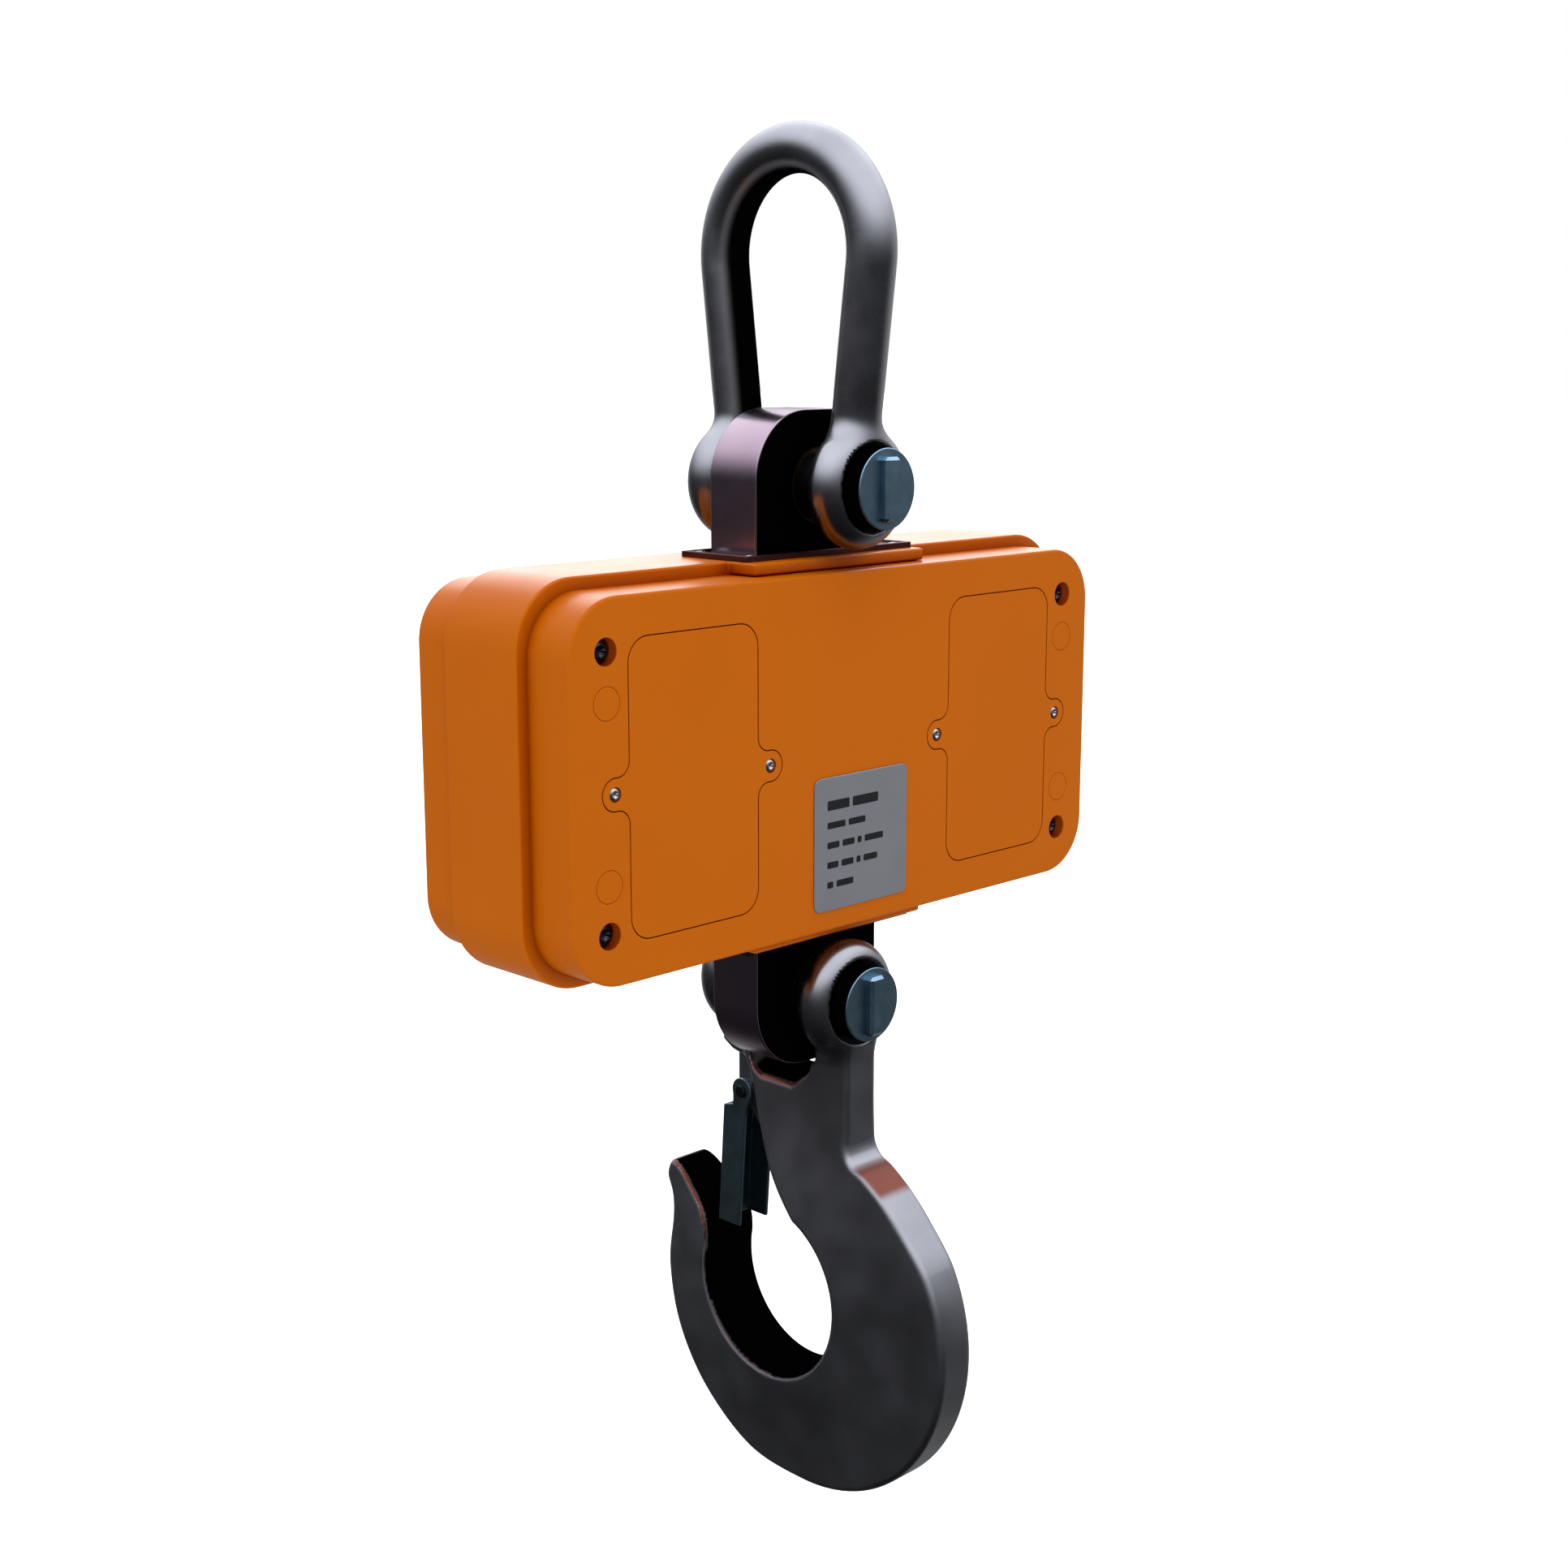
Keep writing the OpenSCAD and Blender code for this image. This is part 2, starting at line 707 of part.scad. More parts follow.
// ---------- hook ----------
shoulder = curve([[33, -40], [33, -52], [35.5, -57.5], [42, -61], [51.5, -68], [61, -77.5],
    [back_y + back_r * cos(28), back_z + back_r * sin(28)], [75.1, -104]], 5);
belly = arc(back_y, back_z, back_r, 23, -88, 20);
nose = curve([[30, -187], [back_y, back_z - back_r], [-16, -185.5], [-40.6, -168.5],
    [-55, -147], [-59.5, -123], [-57.3, -104], [-57.9, -95], [-61.2, -87.5], [-58.6, -81.5],
    [-53, -82.3], [-45.8, -87.8], [-39, -94], [-35.5, -101], [-35, -109],
    [bowl_y - bowl_r, bowl_z], [-35.5, -124]], 5);
throat = curve([[29.5, -124], [bowl_y + bowl_r, bowl_z], [28.1, -105.5], [22.4, -96.5],
    [11.2, -86.5], [-0.7, -73], [-8.2, -59], [-15, -40], [-19, -27], [-20, -22]], 5);

module hook_side() {
    difference() {
        polygon(concat([[16.5, -8], [33, -8], [33, -40]], shoulder, belly, nose, throat,
            [[-16, -32], [-10, -35.5], [6, -35.5], [15, -28], [16.5, -22]]));
        translate([bowl_y, bowl_z]) circle(bowl_r);
    }
}

// The hook's flanks: parallel outside flank_r, and parting towards the bowl's axis
module hook_flanks() {
    steep = (bowl_t - hook_t) / 2 / (flank_r - bowl_r);
    mid = hook_t / 2 + steep * flank_r;
    translate([0, bowl_y, bowl_z]) rotate([0, 90, 0]) rotate_extrude()
        polygon([[0, -mid], [flank_r, -hook_t / 2], [3 * flank_r, -hook_t / 2],
            [3 * flank_r, hook_t / 2], [flank_r, hook_t / 2], [0, mid]]);
}

module hook() {
    color("dimgray") difference() {
        union() {
            ears(low_ear_y, z_low);
            translate([0, 0, z_low]) {
                intersection() {
                    plate_x(bowl_t + 2) hook_side();
                    hook_flanks();
                }
                plate_x(hook_t - 2) polygon([[-32.3, -8], [-16.5, -8], [-16.5, -22], [-15, -32],
                    [-26.5, -30], [-31.7, -27]]);
                plate_x(rib_t) polygon([[-31, -26], [-26.5, -30], [-26.5, -47], [-16, -57],
                    [-8, -62], [-8, -38], [-15, -30]]);
            }
        }
        ear_bores(low_ear_y, z_low);
        rod_y(ear_r + 3, -low_ear_y + ear_t / 2, low_ear_y - ear_t / 2, 0, z_low);
        translate([0, pivot_y, z_low + pivot_z]) rotate([0, 90, 0])
            cylinder(h = 30, r = pivot_r + fit, center = true);
    }
}

module hook_pin() { color("slategray") clevis_pin(low_ear_y, z_low, 13.3); }
module hook_spacers() { color("darkslategray") spacers(low_ear_y, z_low); }
module hook_pin_washer() { color("silver") pin_washer(low_ear_y, z_low); }
module hook_pin_nut() { color("silver") pin_nut(low_ear_y, z_low); }
module hook_split_pin() { color("silver") split_pin(low_ear_y, z_low); }

module at_pivot() { translate([0, pivot_y, z_low + pivot_z]) children(); }

module latch_pin() {
    color("silver") at_pivot() rotate([0, 90, 0]) {
        cylinder(h = latch_w + 2, r = pivot_r, center = true);
        for (s = [0, 1]) mirror([0, 0, s]) translate([0, 0, latch_w / 2 + 0.15])
            cylinder(h = 0.85, r = 2.3);
    }
}

// Bent sheet channel: two eared flanges on the pin, and a web towards the hook's tip
module latch() {
    web = [[-9.6, -7.2], [-12.7, -53.8]];
    color("darkslategray") at_pivot() difference() {
        plate_x(latch_w) union() {
            circle(5);
            polygon([[-4.7, -6], web[0], web[1], [-1.8, -53.8], [1.6, -9], [4.7, -1], [-4.7, -1]]);
        }
        plate_x(latch_w - 2 * sheet) polygon([[8, 8], [8, -60], [web[1][0] + sheet, -60],
            [web[1][0] + sheet, web[1][1]], [web[0][0] + sheet, web[0][1]], [-8.1, 8]]);
        rotate([0, 90, 0]) cylinder(h = 30, r = pivot_r + fit, center = true);
    }
}

// Double torsion spring: a close-wound coil each side of the rib, drawn as its envelope,
// with one leg down inside the web and one up beside the rib
module latch_spring() {
    wire = 0.5;
    coil_r = 2.7;
    color("silver") at_pivot() for (s = [0, 1]) mirror([s, 0, 0]) {
        translate([3.9, 0, 0]) rotate([0, 90, 0]) difference() {
            cylinder(h = 2.2, r = coil_r + wire);
            translate([0, 0, -1]) cylinder(h = 4, r = coil_r - wire);
        }
        translate([4.6, -coil_r, 0]) rotate([180 - 14.5, 0, 0]) cylinder(h = 22, r = wire);
        translate([5.5, coil_r, 0]) cylinder(h = 7, r = wire);
    }
}

shackle();
shackle_pin();
shackle_spacers();
shackle_pin_washer();
shackle_pin_nut();
shackle_split_pin();
load_cell();
upper_bush();
lower_bush();
gauge_covers();
upper_bracket();
lower_bracket();
bracket_bolts();
main_housing();
top_seal_plate();
bottom_seal_plate();
top_seal();
bottom_seal();
seal_plate_screws();
back_cover();
back_gasket();
back_cover_screws();
cover_plugs();
rating_label();
battery_lid_left();
battery_lid_right();
battery_lid_gaskets();
battery_lid_screws();
battery_left();
battery_right();
battery_contacts();
front_cover();
front_gasket();
front_cover_screws();
display_window();
display_board();
digit_modules();
main_board();
board_spacers();
board_screws();
key_switches();
load_cell_cable();
battery_cables();
power_key();
tare_key();
hold_key();
unit_key();
hook();
hook_pin();
hook_spacers();
hook_pin_washer();
hook_pin_nut();
hook_split_pin();
latch_pin();
latch();
latch_spring();
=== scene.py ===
"""Looks of the hanging crane scale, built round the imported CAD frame.

Made here in mesh code: the forged shackle and hook, the pins, screws and latch spring, the back cover
with its lids, plugs and label, and the marks on the label, display and keys. The other pieces are the
CAD nodes with softened edges and new materials.
"""

import json
import math

import bmesh
import bpy
import numpy as np
from mathutils import Matrix, Vector, geometry

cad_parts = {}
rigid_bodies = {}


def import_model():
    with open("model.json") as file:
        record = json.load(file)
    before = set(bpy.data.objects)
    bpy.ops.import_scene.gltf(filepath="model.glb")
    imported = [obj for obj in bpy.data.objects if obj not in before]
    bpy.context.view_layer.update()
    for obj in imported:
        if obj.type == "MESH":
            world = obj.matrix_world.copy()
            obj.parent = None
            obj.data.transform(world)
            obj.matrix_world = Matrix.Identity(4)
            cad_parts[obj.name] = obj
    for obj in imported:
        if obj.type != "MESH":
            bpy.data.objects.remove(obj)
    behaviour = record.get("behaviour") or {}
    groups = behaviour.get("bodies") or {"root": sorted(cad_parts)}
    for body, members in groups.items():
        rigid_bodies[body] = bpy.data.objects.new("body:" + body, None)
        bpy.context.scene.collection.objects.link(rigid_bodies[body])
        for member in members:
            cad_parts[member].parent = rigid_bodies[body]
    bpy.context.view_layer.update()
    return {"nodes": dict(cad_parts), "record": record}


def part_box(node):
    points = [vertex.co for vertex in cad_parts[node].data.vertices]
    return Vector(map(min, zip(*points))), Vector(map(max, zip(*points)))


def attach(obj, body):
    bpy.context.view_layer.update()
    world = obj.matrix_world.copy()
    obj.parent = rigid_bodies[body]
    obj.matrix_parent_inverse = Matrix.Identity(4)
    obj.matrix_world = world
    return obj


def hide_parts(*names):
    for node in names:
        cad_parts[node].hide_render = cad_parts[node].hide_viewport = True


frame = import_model()
nodes = frame["nodes"]

MM = 0.001
TAU = 2 * math.pi


def middle(node):
    lo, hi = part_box(node)
    return (lo + hi) / 2


# Driving places, in millimetres, from the frame
Z_TOP = middle("upper_bush").z / MM
Z_LOW = middle("lower_bush").z / MM
Z_BOX = (Z_TOP + Z_LOW) / 2
FACE_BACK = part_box("back_cover")[1].y / MM
FACE_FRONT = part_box("front_cover")[0].y / MM
CORNERS = [(i, k) for i in (-1, 1) for k in (-1, 1)]


# ---------- materials ----------
def colour(r, g, b):
    """Linear colour from sRGB values of 0 to 255."""
    return tuple(((c / 255 + 0.055) / 1.055) ** 2.4 if c > 10 else c / 255 / 12.92 for c in (r, g, b)) + (1,)


class Shade:
    """A procedural material: a Principled shader whose inputs are fed by noise in object space."""

    def __init__(self, name, base, metallic, rough):
        self.material = bpy.data.materials.new(name)
        self.material.use_nodes = True
        self.tree = self.material.node_tree
        self.shader = self.tree.nodes["Principled BSDF"]
        self.shader.inputs["Base Color"].default_value = base
        self.shader.inputs["Metallic"].default_value = metallic
        self.shader.inputs["Roughness"].default_value = rough
        self.place = self.tree.nodes.new("ShaderNodeTexCoord").outputs["Object"]
        self.base = base
        self.rough = rough

    def link(self, a, b):
        self.tree.links.new(a, b)

    def noise(self, size_mm, detail=3, stretch=None):
        """Noise whose features are about size_mm across."""
        n = self.tree.nodes.new("ShaderNodeTexNoise")
        n.inputs["Scale"].default_value = 1 / (size_mm * MM)
        n.inputs["Detail"].default_value = detail
        place = self.place
        if stretch:
            mapping = self.tree.nodes.new("ShaderNodeMapping")
            mapping.inputs["Scale"].default_value = stretch
            self.link(place, mapping.inputs["Vector"])
            place = mapping.outputs["Vector"]
        self.link(place, n.inputs["Vector"])
        return n.outputs["Fac"]

    def spread(self, value, low, high, from_low=0.3, from_high=0.7):
        """Maps a noise to a range of numbers."""
        m = self.tree.nodes.new("ShaderNodeMapRange")
        m.inputs["From Min"].default_value = from_low
        m.inputs["From Max"].default_value = from_high
        m.inputs["To Min"].default_value = low
        m.inputs["To Max"].default_value = high
        self.link(value, m.inputs["Value"])
        return m.outputs["Result"]

    def mix(self, factor, a, b):
        m = self.tree.nodes.new("ShaderNodeMix")
        m.data_type = "RGBA"
        for socket, value in ((m.inputs[6], a), (m.inputs[7], b)):
            if isinstance(value, tuple):
                socket.default_value = value
            else:
                self.link(value, socket)
        self.link(factor, m.inputs[0])
        return m.outputs[2]

    def tint(self, size_mm, other, amount, stretch=None):
        """Blotches of another colour over the base colour."""
        n = self.spread(self.noise(size_mm, 4, stretch), 0, amount)
        self.link(self.mix(n, self.base, other), self.shader.inputs["Base Color"])
        return self

    def uneven(self, size_mm, amount):
        n = self.spread(self.noise(size_mm, 4), self.rough - amount, self.rough + amount)
        self.link(n, self.shader.inputs["Roughness"])
        return self

    def bump(self, size_mm, height_mm, stretch=None, detail=3):
        b = self.tree.nodes.new("ShaderNodeBump")
        b.inputs["Distance"].default_value = height_mm * MM
        b.inputs["Strength"].default_value = 1.0
        self.link(self.noise(size_mm, detail, stretch), b.inputs["Height"])
        old = self.shader.inputs["Normal"]
        if old.is_linked:
            self.link(old.links[0].from_socket, b.inputs["Normal"])
        self.link(b.outputs["Normal"], old)
        return self

    def set(self, **values):
        for name, value in values.items():
            self.shader.inputs[name.replace("_", " ")].default_value = value
        return self


def orange_paint():
    """Powder coat, barely glossy, with painted shade that turns it redder and darker in the grooves."""
    m = Shade("orange_paint", colour(203, 103, 0), 0.0, 0.36)
    m.set(Specular_IOR_Level=0.1)
    blotch = m.mix(m.spread(m.noise(60, 4), 0, 0.5), m.base, colour(197, 98, 0))
    # Painted shade: the colour turns a darker red where ambient occlusion finds grooves and corners.
    groove_shade = m.tree.nodes.new("ShaderNodeAmbientOcclusion")
    groove_shade.samples = 6
    groove_shade.inputs["Distance"].default_value = 9 * MM
    m.link(m.mix(m.spread(groove_shade.outputs["AO"], 1, 0, 0.35, 0.85), blotch, colour(140, 42, 0)),
           m.shader.inputs["Base Color"])
    m.uneven(25, 0.03)
    return m.bump(2.2, 0.012, detail=1)


def painted_on(m, name):
    """The value of a mesh attribute."""
    n = m.tree.nodes.new("ShaderNodeAttribute")
    n.attribute_name = name
    return n.outputs["Fac"]


def painted_shade(m, steel, amount):
    """Paints shade: turns steel to a matt black where the amount is 1."""
    m.link(m.mix(amount, steel, colour(3, 3, 4)), m.shader.inputs["Base Color"])
    m.link(m.spread(amount, 1, 0, 0, 1), m.shader.inputs["Metallic"])
    return m.set(Specular_IOR_Level=0.0)


def forged_steel():
    """Oiled forged steel, painted black as shade on its inner faces, rust-brown at some lips with a painted
    sheen on the hook's shoulder, smoother towards the top.
    """
    m = Shade("forged_steel", colour(150, 151, 156), 1.0, 0.34)
    steel = m.mix(m.spread(m.noise(30, 4), 0, 0.6), m.base, colour(122, 122, 128))
    # Rust-brown at some lips, and a painted sheen on the hook's shoulder.
    steel = m.mix(painted_on(m, "rust_and_sheen"), steel, colour(104, 46, 24))
    # Painted shade: the inner faces, the bowl, the saddle and the counterbores go matt black.
    painted_shade(m, steel, painted_on(m, "inner"))
    height = m.tree.nodes.new("ShaderNodeSeparateXYZ")
    m.link(m.place, height.inputs[0])
    rough = m.spread(height.outputs["Z"], 0.4, 0.27, (Z_LOW - 30) * MM, (Z_LOW - 10) * MM)
    mottle = m.tree.nodes.new("ShaderNodeMath")
    m.link(rough, mottle.inputs[0])
    m.link(m.spread(m.noise(14, 4), -0.05, 0.05), mottle.inputs[1])
    m.link(mottle.outputs[0], m.shader.inputs["Roughness"])
    return m.bump(12, 0.05).bump(0.9, 0.004)


def pin_steel():
    m = Shade("pin_steel", colour(128, 158, 176), 1.0, 0.38)
    # Painted shade: the head's side inside the counterbore is made matt black.
    painted_shade(m, m.mix(m.spread(m.noise(6, 4), 0, 0.6), m.base, colour(112, 142, 160)), painted_on(m, "inner"))
    m.uneven(4, 0.05)
    return m.bump(0.5, 0.004)


def bright_steel():
    m = Shade("bright_steel", colour(196, 198, 202), 1.0, 0.28)
    m.tint(5, colour(170, 174, 176), 0.7)
    m.uneven(3, 0.06)
    return m.bump(0.5, 0.003)


def cell_steel():
    """Violet-grey steel on the edges; the plate's broad faces are painted matt black as shade."""
    m = Shade("cell_steel", colour(156, 138, 149), 1.0, 0.22)
    turned = m.tree.nodes.new("ShaderNodeSeparateXYZ")
    m.link(m.tree.nodes.new("ShaderNodeTexCoord").outputs["Normal"], turned.inputs[0])
    size = m.tree.nodes.new("ShaderNodeMath")
    size.operation = "ABSOLUTE"
    m.link(turned.outputs["Y"], size.inputs[0])
    steel = m.mix(m.spread(m.noise(40, 4), 0, 0.7), m.base, colour(140, 120, 138))
    # Painted shade: faces turned towards +Y or -Y go matt black.
    painted_shade(m, steel, m.spread(size.outputs[0], 0, 1, 0.75, 0.95))
    m.uneven(10, 0.03)
    return m.bump(0.8, 0.002)


def label_plate():
    m = Shade("label_plate", colour(146, 147, 155), 0.3, 0.42)
    m.tint(12, colour(138, 139, 147), 0.6)
    return m.bump(0.35, 0.003, (0.05, 1, 1))


def smoked_window():
    m = Shade("smoked_window", colour(120, 30, 30), 0.0, 0.05)
    m.set(Transmission_Weight=1.0, IOR=1.49)
    return m.bump(30, 0.01)


def circuit_board():
    m = Shade("circuit_board", colour(30, 84, 52), 0.0, 0.4)
    return m.tint(4, colour(22, 66, 40), 0.8, (1, 1, 0.3)).bump(1.0, 0.006)


def lit_segment():
    m = Shade("lit_segment", colour(255, 60, 40), 0.0, 0.4)
    m.set(Emission_Color=colour(255, 50, 30), Emission_Strength=2.5)
    return m.tint(2, colour(255, 90, 60), 0.5)


def latch_sheet():
    m = Shade("latch_sheet", colour(112, 136, 144), 1.0, 0.4)
    m.tint(14, colour(92, 114, 122), 0.7)
    m.uneven(6, 0.05)
    return m.bump(1.2, 0.01)


# Base colour, metallic, roughness; the blotches' size, colour and amount; the bumps' size and height
PLAIN = {
    "dark_steel": ((72, 76, 84), 1.0, 0.32, 4, (52, 54, 60), 0.7, 0.6, 0.004),
    # Bronze darkened to a brown-black all over: painted shade for the bushes in the ears' shadow.
    "bronze": ((92, 74, 52), 1.0, 0.4, 5, (76, 58, 40), 0.6, 0.7, 0.004),
    "black_plate": ((92, 56, 54), 0.95, 0.34, 10, (70, 46, 48), 0.7, 0.6, 0.004),
    "black_rubber": ((22, 22, 23), 0.0, 0.75, 8, (32, 32, 32), 0.6, 0.8, 0.02),
    "label_ink": ((20, 20, 24), 0.0, 0.45, 5, (30, 30, 34), 0.5, 0.4, 0.002),
    "battery_wrap": ((38, 60, 130), 0.0, 0.3, 15, (30, 46, 104), 0.6, 3, 0.02),
    "contact_brass": ((214, 184, 110), 1.0, 0.25, 3, (180, 146, 84), 0.5, 0.5, 0.003),
    "digit_black": ((26, 26, 28), 0.0, 0.5, 6, (36, 36, 38), 0.6, 0.6, 0.006),
    "unlit_segment": ((64, 34, 34), 0.0, 0.4, 2, (76, 40, 38), 0.5),
    "cable_jacket": ((40, 40, 42), 0.0, 0.5, 3, (52, 52, 54), 0.6, 0.8, 0.01),
    "key_red": ((176, 40, 34), 0.0, 0.45, 8, (160, 34, 30), 0.6, 0.5, 0.008),
    "key_grey": ((92, 94, 98), 0.0, 0.5, 8, (82, 84, 88), 0.6, 0.5, 0.008),
    "key_mark": ((232, 232, 228), 0.0, 0.5, 3, (214, 214, 210), 0.5),
}


def plain(name, base, metallic, rough, blotch_mm, other, amount, *bumps):
    m = Shade(name, colour(*base), metallic, rough).tint(blotch_mm, colour(*other), amount)
    return m.bump(*bumps) if bumps else m


MATERIALS = {make.__name__: make().material
             for make in (orange_paint, forged_steel, pin_steel, bright_steel, cell_steel, label_plate,
                          smoked_window, circuit_board, lit_segment, latch_sheet)}
MATERIALS.update((name, plain(name, *look).material) for name, look in PLAIN.items())
SLOT_OF = {row["node"]: row["material_slot"] for row in frame["record"]["subparts"]}


# ---------- pieces ----------
def piece(name, verts_mm, faces, material, body, slot=None, flat=False):
    """A new mesh piece from points in millimetres, riding on a body."""
    mesh = bpy.data.meshes.new(name)
    mesh.from_pydata([tuple(c * MM for c in v) for v in verts_mm], [], [tuple(map(int, f)) for f in faces])
    bm = bmesh.new()
    bm.from_mesh(mesh)
    bmesh.ops.recalc_face_normals(bm, faces=bm.faces)
    bm.to_mesh(mesh)
    bm.free()
    mesh.shade_flat() if flat else mesh.shade_smooth()
    mesh.materials.append(MATERIALS[material])
    obj = bpy.data.objects.new(name, mesh)
    bpy.context.scene.collection.objects.link(obj)
    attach(obj, body)
    slot or material
    return obj


def modify(obj, kind, **values):
    m = obj.modifiers.new(kind.lower(), kind)
    for key, value in values.items():
        setattr(m, key, value)


def stand_in(name, part, material, body, node):
    """A piece shown in place of a CAD node, its shading led by its larger faces."""
    obj = piece(name, *part, material, body)
    modify(obj, "WEIGHTED_NORMAL", weight=50)
    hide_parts(node)


def soften(obj, width_mm):
    """Rounds an object's sharp edges: joined, its flat faces made whole, then bevelled."""
    modify(obj, "WELD", merge_threshold=1e-6)
    modify(obj, "DECIMATE", decimate_type="DISSOLVE", angle_limit=math.radians(0.6))
    modify(obj, "BEVEL", width=width_mm * MM, segments=3, limit_method="ANGLE",
           angle_limit=math.radians(35), use_clamp_overlap=False, miter_outer="MITER_ARC", loop_slide=True)
    modify(obj, "WEIGHTED_NORMAL", weight=50, keep_sharp=False)


SOFT_EDGES = {
    "main_housing": 0.9, "front_cover": 1.2, "load_cell": 0.8,
    "top_seal_plate": 0.25, "bottom_seal_plate": 0.25, "display_window": 0.4,
    "power_key": 1.0, "tare_key": 1.0, "hold_key": 1.0, "unit_key": 1.0,
    "shackle_pin_nut": 0.5, "hook_pin_nut": 0.5, "shackle_pin_washer": 0.3, "hook_pin_washer": 0.3,
    "shackle_spacers": 0.4, "hook_spacers": 0.4, "latch": 0.35, "latch_pin": 0.2,
}

for node, obj in nodes.items():
    obj.data.materials.clear()
    obj.data.materials.append(MATERIALS[SLOT_OF[node]])
    if node in SOFT_EDGES:
        soften(obj, SOFT_EDGES[node])


# ---------- forged pieces, from signed distances in millimetres ----------
PIN_R = 9.5
BAR_R = 8.5
BOW_HALF = 35
LEG_LEAN = math.radians(7)
EAR_R, EAR_T = 21, 16
EAR_BLEND = 5
CBORE_R, CBORE_DEEP = 15, 7.5
TOP_EAR_Y, LOW_EAR_Y = 29.5, 24.5
TOP_THROAT_R, LOW_THROAT_R = 15, 24
THROAT_EDGE = 1.2
LEG_END = 14  # where the bow's leg stops above the pin, inside the ear
HOOK_T = 16
HOOK_EDGE = 2.2
PIVOT_R = 1.65
BOWL = (-2.7, -116, 33)  # centre and radius, about the hook pin
BOWL_T, FLANK_R = 27, 71  # thickness at the bowl, and the radius where its flanks run out
BACK = (12, -122, 67.3)
PIVOT = (-20.4, -44.5)
GRID = 1.0  # size of a cell in the sampled distances


def length(*c):
    return np.sqrt(sum(v * v for v in c))


def smooth_min(a, b, k):
    h = np.maximum(k - np.abs(a - b), 0) / k
    return np.minimum(a, b) - h * h * k / 4


def smooth_max(a, b, k):
    return -smooth_min(-a, -b, k)


def outline_distance(points, y, z):
    """Signed distance to a closed outline in (y, z), negative inside."""
    best = np.full(np.broadcast(y, z).shape, 1e9)
    inside = np.zeros(best.shape, bool)
    for (y0, z0), (y1, z1) in zip(points, points[1:] + points[:1]):
        ey, ez = y1 - y0, z1 - z0
        size = ey * ey + ez * ez
        if size < 1e-9:
            continue
        t = np.clip(((y - y0) * ey + (z - z0) * ez) / size, 0, 1)
        best = np.minimum(best, (y - y0 - t * ey) ** 2 + (z - z0 - t * ez) ** 2)
        if ez:
            inside ^= ((z0 > z) != (z1 > z)) & (y < ey * (z - z0) / ez + y0)
    return np.where(inside, -1, 1) * np.sqrt(best)


def rounded_plate(flat, x, half, r):
    """A flat outline's distance given thickness about x = 0, with edges of radius r."""
    a, b = flat + r, np.abs(x) - half + r
    return np.minimum(np.maximum(a, b), 0) + length(np.maximum(a, 0), np.maximum(b, 0)) - r


def ear(x, y, z, mid_y):
    """A disc about the Y axis with a round rim, like a flat doughnut."""
    return length(np.maximum(length(x, z) - EAR_R + EAR_T / 2, 0), y - mid_y) - EAR_T / 2


def drill(solid, x, y, z, ear_y):
    """Cuts the heads' counterbores and the pin's bore through a pair of ears."""
    rho = length(x, z)
    seat = ear_y + EAR_T / 2 - CBORE_DEEP
    solid = smooth_max(solid, -np.maximum(rho - CBORE_R, seat - np.abs(y)), 1.4)
    return smooth_max(solid, PIN_R - rho, 0.5)


def shackle_field(x, y, z):
    side = np.abs(y)
    crown_z = BAR_R - BOW_HALF
    sin, cos = math.sin(LEG_LEAN), math.cos(LEG_LEAN)
    top_y, top_z = BOW_HALF * cos, crown_z - BOW_HALF * sin
    bow = length(length(side, z - crown_z) - BOW_HALF, x) - BAR_R
    run = (top_z - Z_TOP - LEG_END) / cos
    t = np.clip((side - top_y) * -sin + (z - top_z) * -cos, 0, run)
    leg = length(side - top_y + t * sin, z - top_z + t * cos, x) - BAR_R
    bar = np.where((z - crown_z) * cos + side * sin > 0, bow, leg)
    down = z - Z_TOP
    solid = smooth_min(bar, ear(x, side, down, TOP_EAR_Y), EAR_BLEND)
    throat = np.maximum(length(x, down) - TOP_THROAT_R, side - TOP_EAR_Y + EAR_T / 2)
    return drill(smooth_max(solid, -throat, THROAT_EDGE), x, y, down, TOP_EAR_Y)


def arc(cy, cz, r, a0, a1, n):
    """Points round a centre from angle a0 to a1, in degrees, in n steps."""
    angles = [math.radians(a0 + (a1 - a0) * i / n) for i in range(n + 1)]
    return [(cy + r * math.cos(a), cz + r * math.sin(a)) for a in angles]


def curve(p, n):
    """Points along a smooth curve through the points p, n steps to a stretch."""
    out = []
    for a, b, c, d in zip(p, p[1:], p[2:], p[3:]):
        for k in range(n):
            t = k / n
            out.append(tuple(
                0.5 * (2 * v + (w - u) * t + (2 * u - 5 * v + 4 * w - q) * t ** 2
                       + (3 * v - u - 3 * w + q) * t ** 3)
                for u, v, w, q in zip(a, b, c, d)))
    return out + [p[-2]]


# The hook's outline in (y, z) about its pin, from the back of the fork round to the inside
SHOULDER = curve([(33, -40), (33, -52), (35.5, -57.5), (42, -61), (51.5, -68), (61, -77.5),
                  (BACK[0] + BACK[2] * math.cos(math.radians(28)),
                   BACK[1] + BACK[2] * math.sin(math.radians(28))), (75.1, -104)], 12)
BELLY = arc(*BACK, 27, -88, 115)
NOSE = curve([(30, -187), (BACK[0], BACK[1] - BACK[2]), (-16, -186.3), (-40.2, -170), (-54.8, -148),
              (-59.7, -123.5), (-57.3, -104), (-57.9, -95), (-61.2, -87.5), (-58.6, -81.5), (-53, -82.3),
              (-45.8, -87.8), (-39, -94), (-35.5, -101), (-35, -109), (BOWL[0] - BOWL[2], BOWL[1]),
              (-35.5, -124)], 10)
THROAT = curve([(29.5, -124), (BOWL[0] + BOWL[2], BOWL[1]), (28.1, -105.5), (22.4, -96.5),
                (11.2, -86.5), (-0.7, -73), (-8.2, -59), (-15, -40), (-19, -27), (-20, -22)], 10)
SADDLE = [(-16.5, -24), (16.5, -24)]
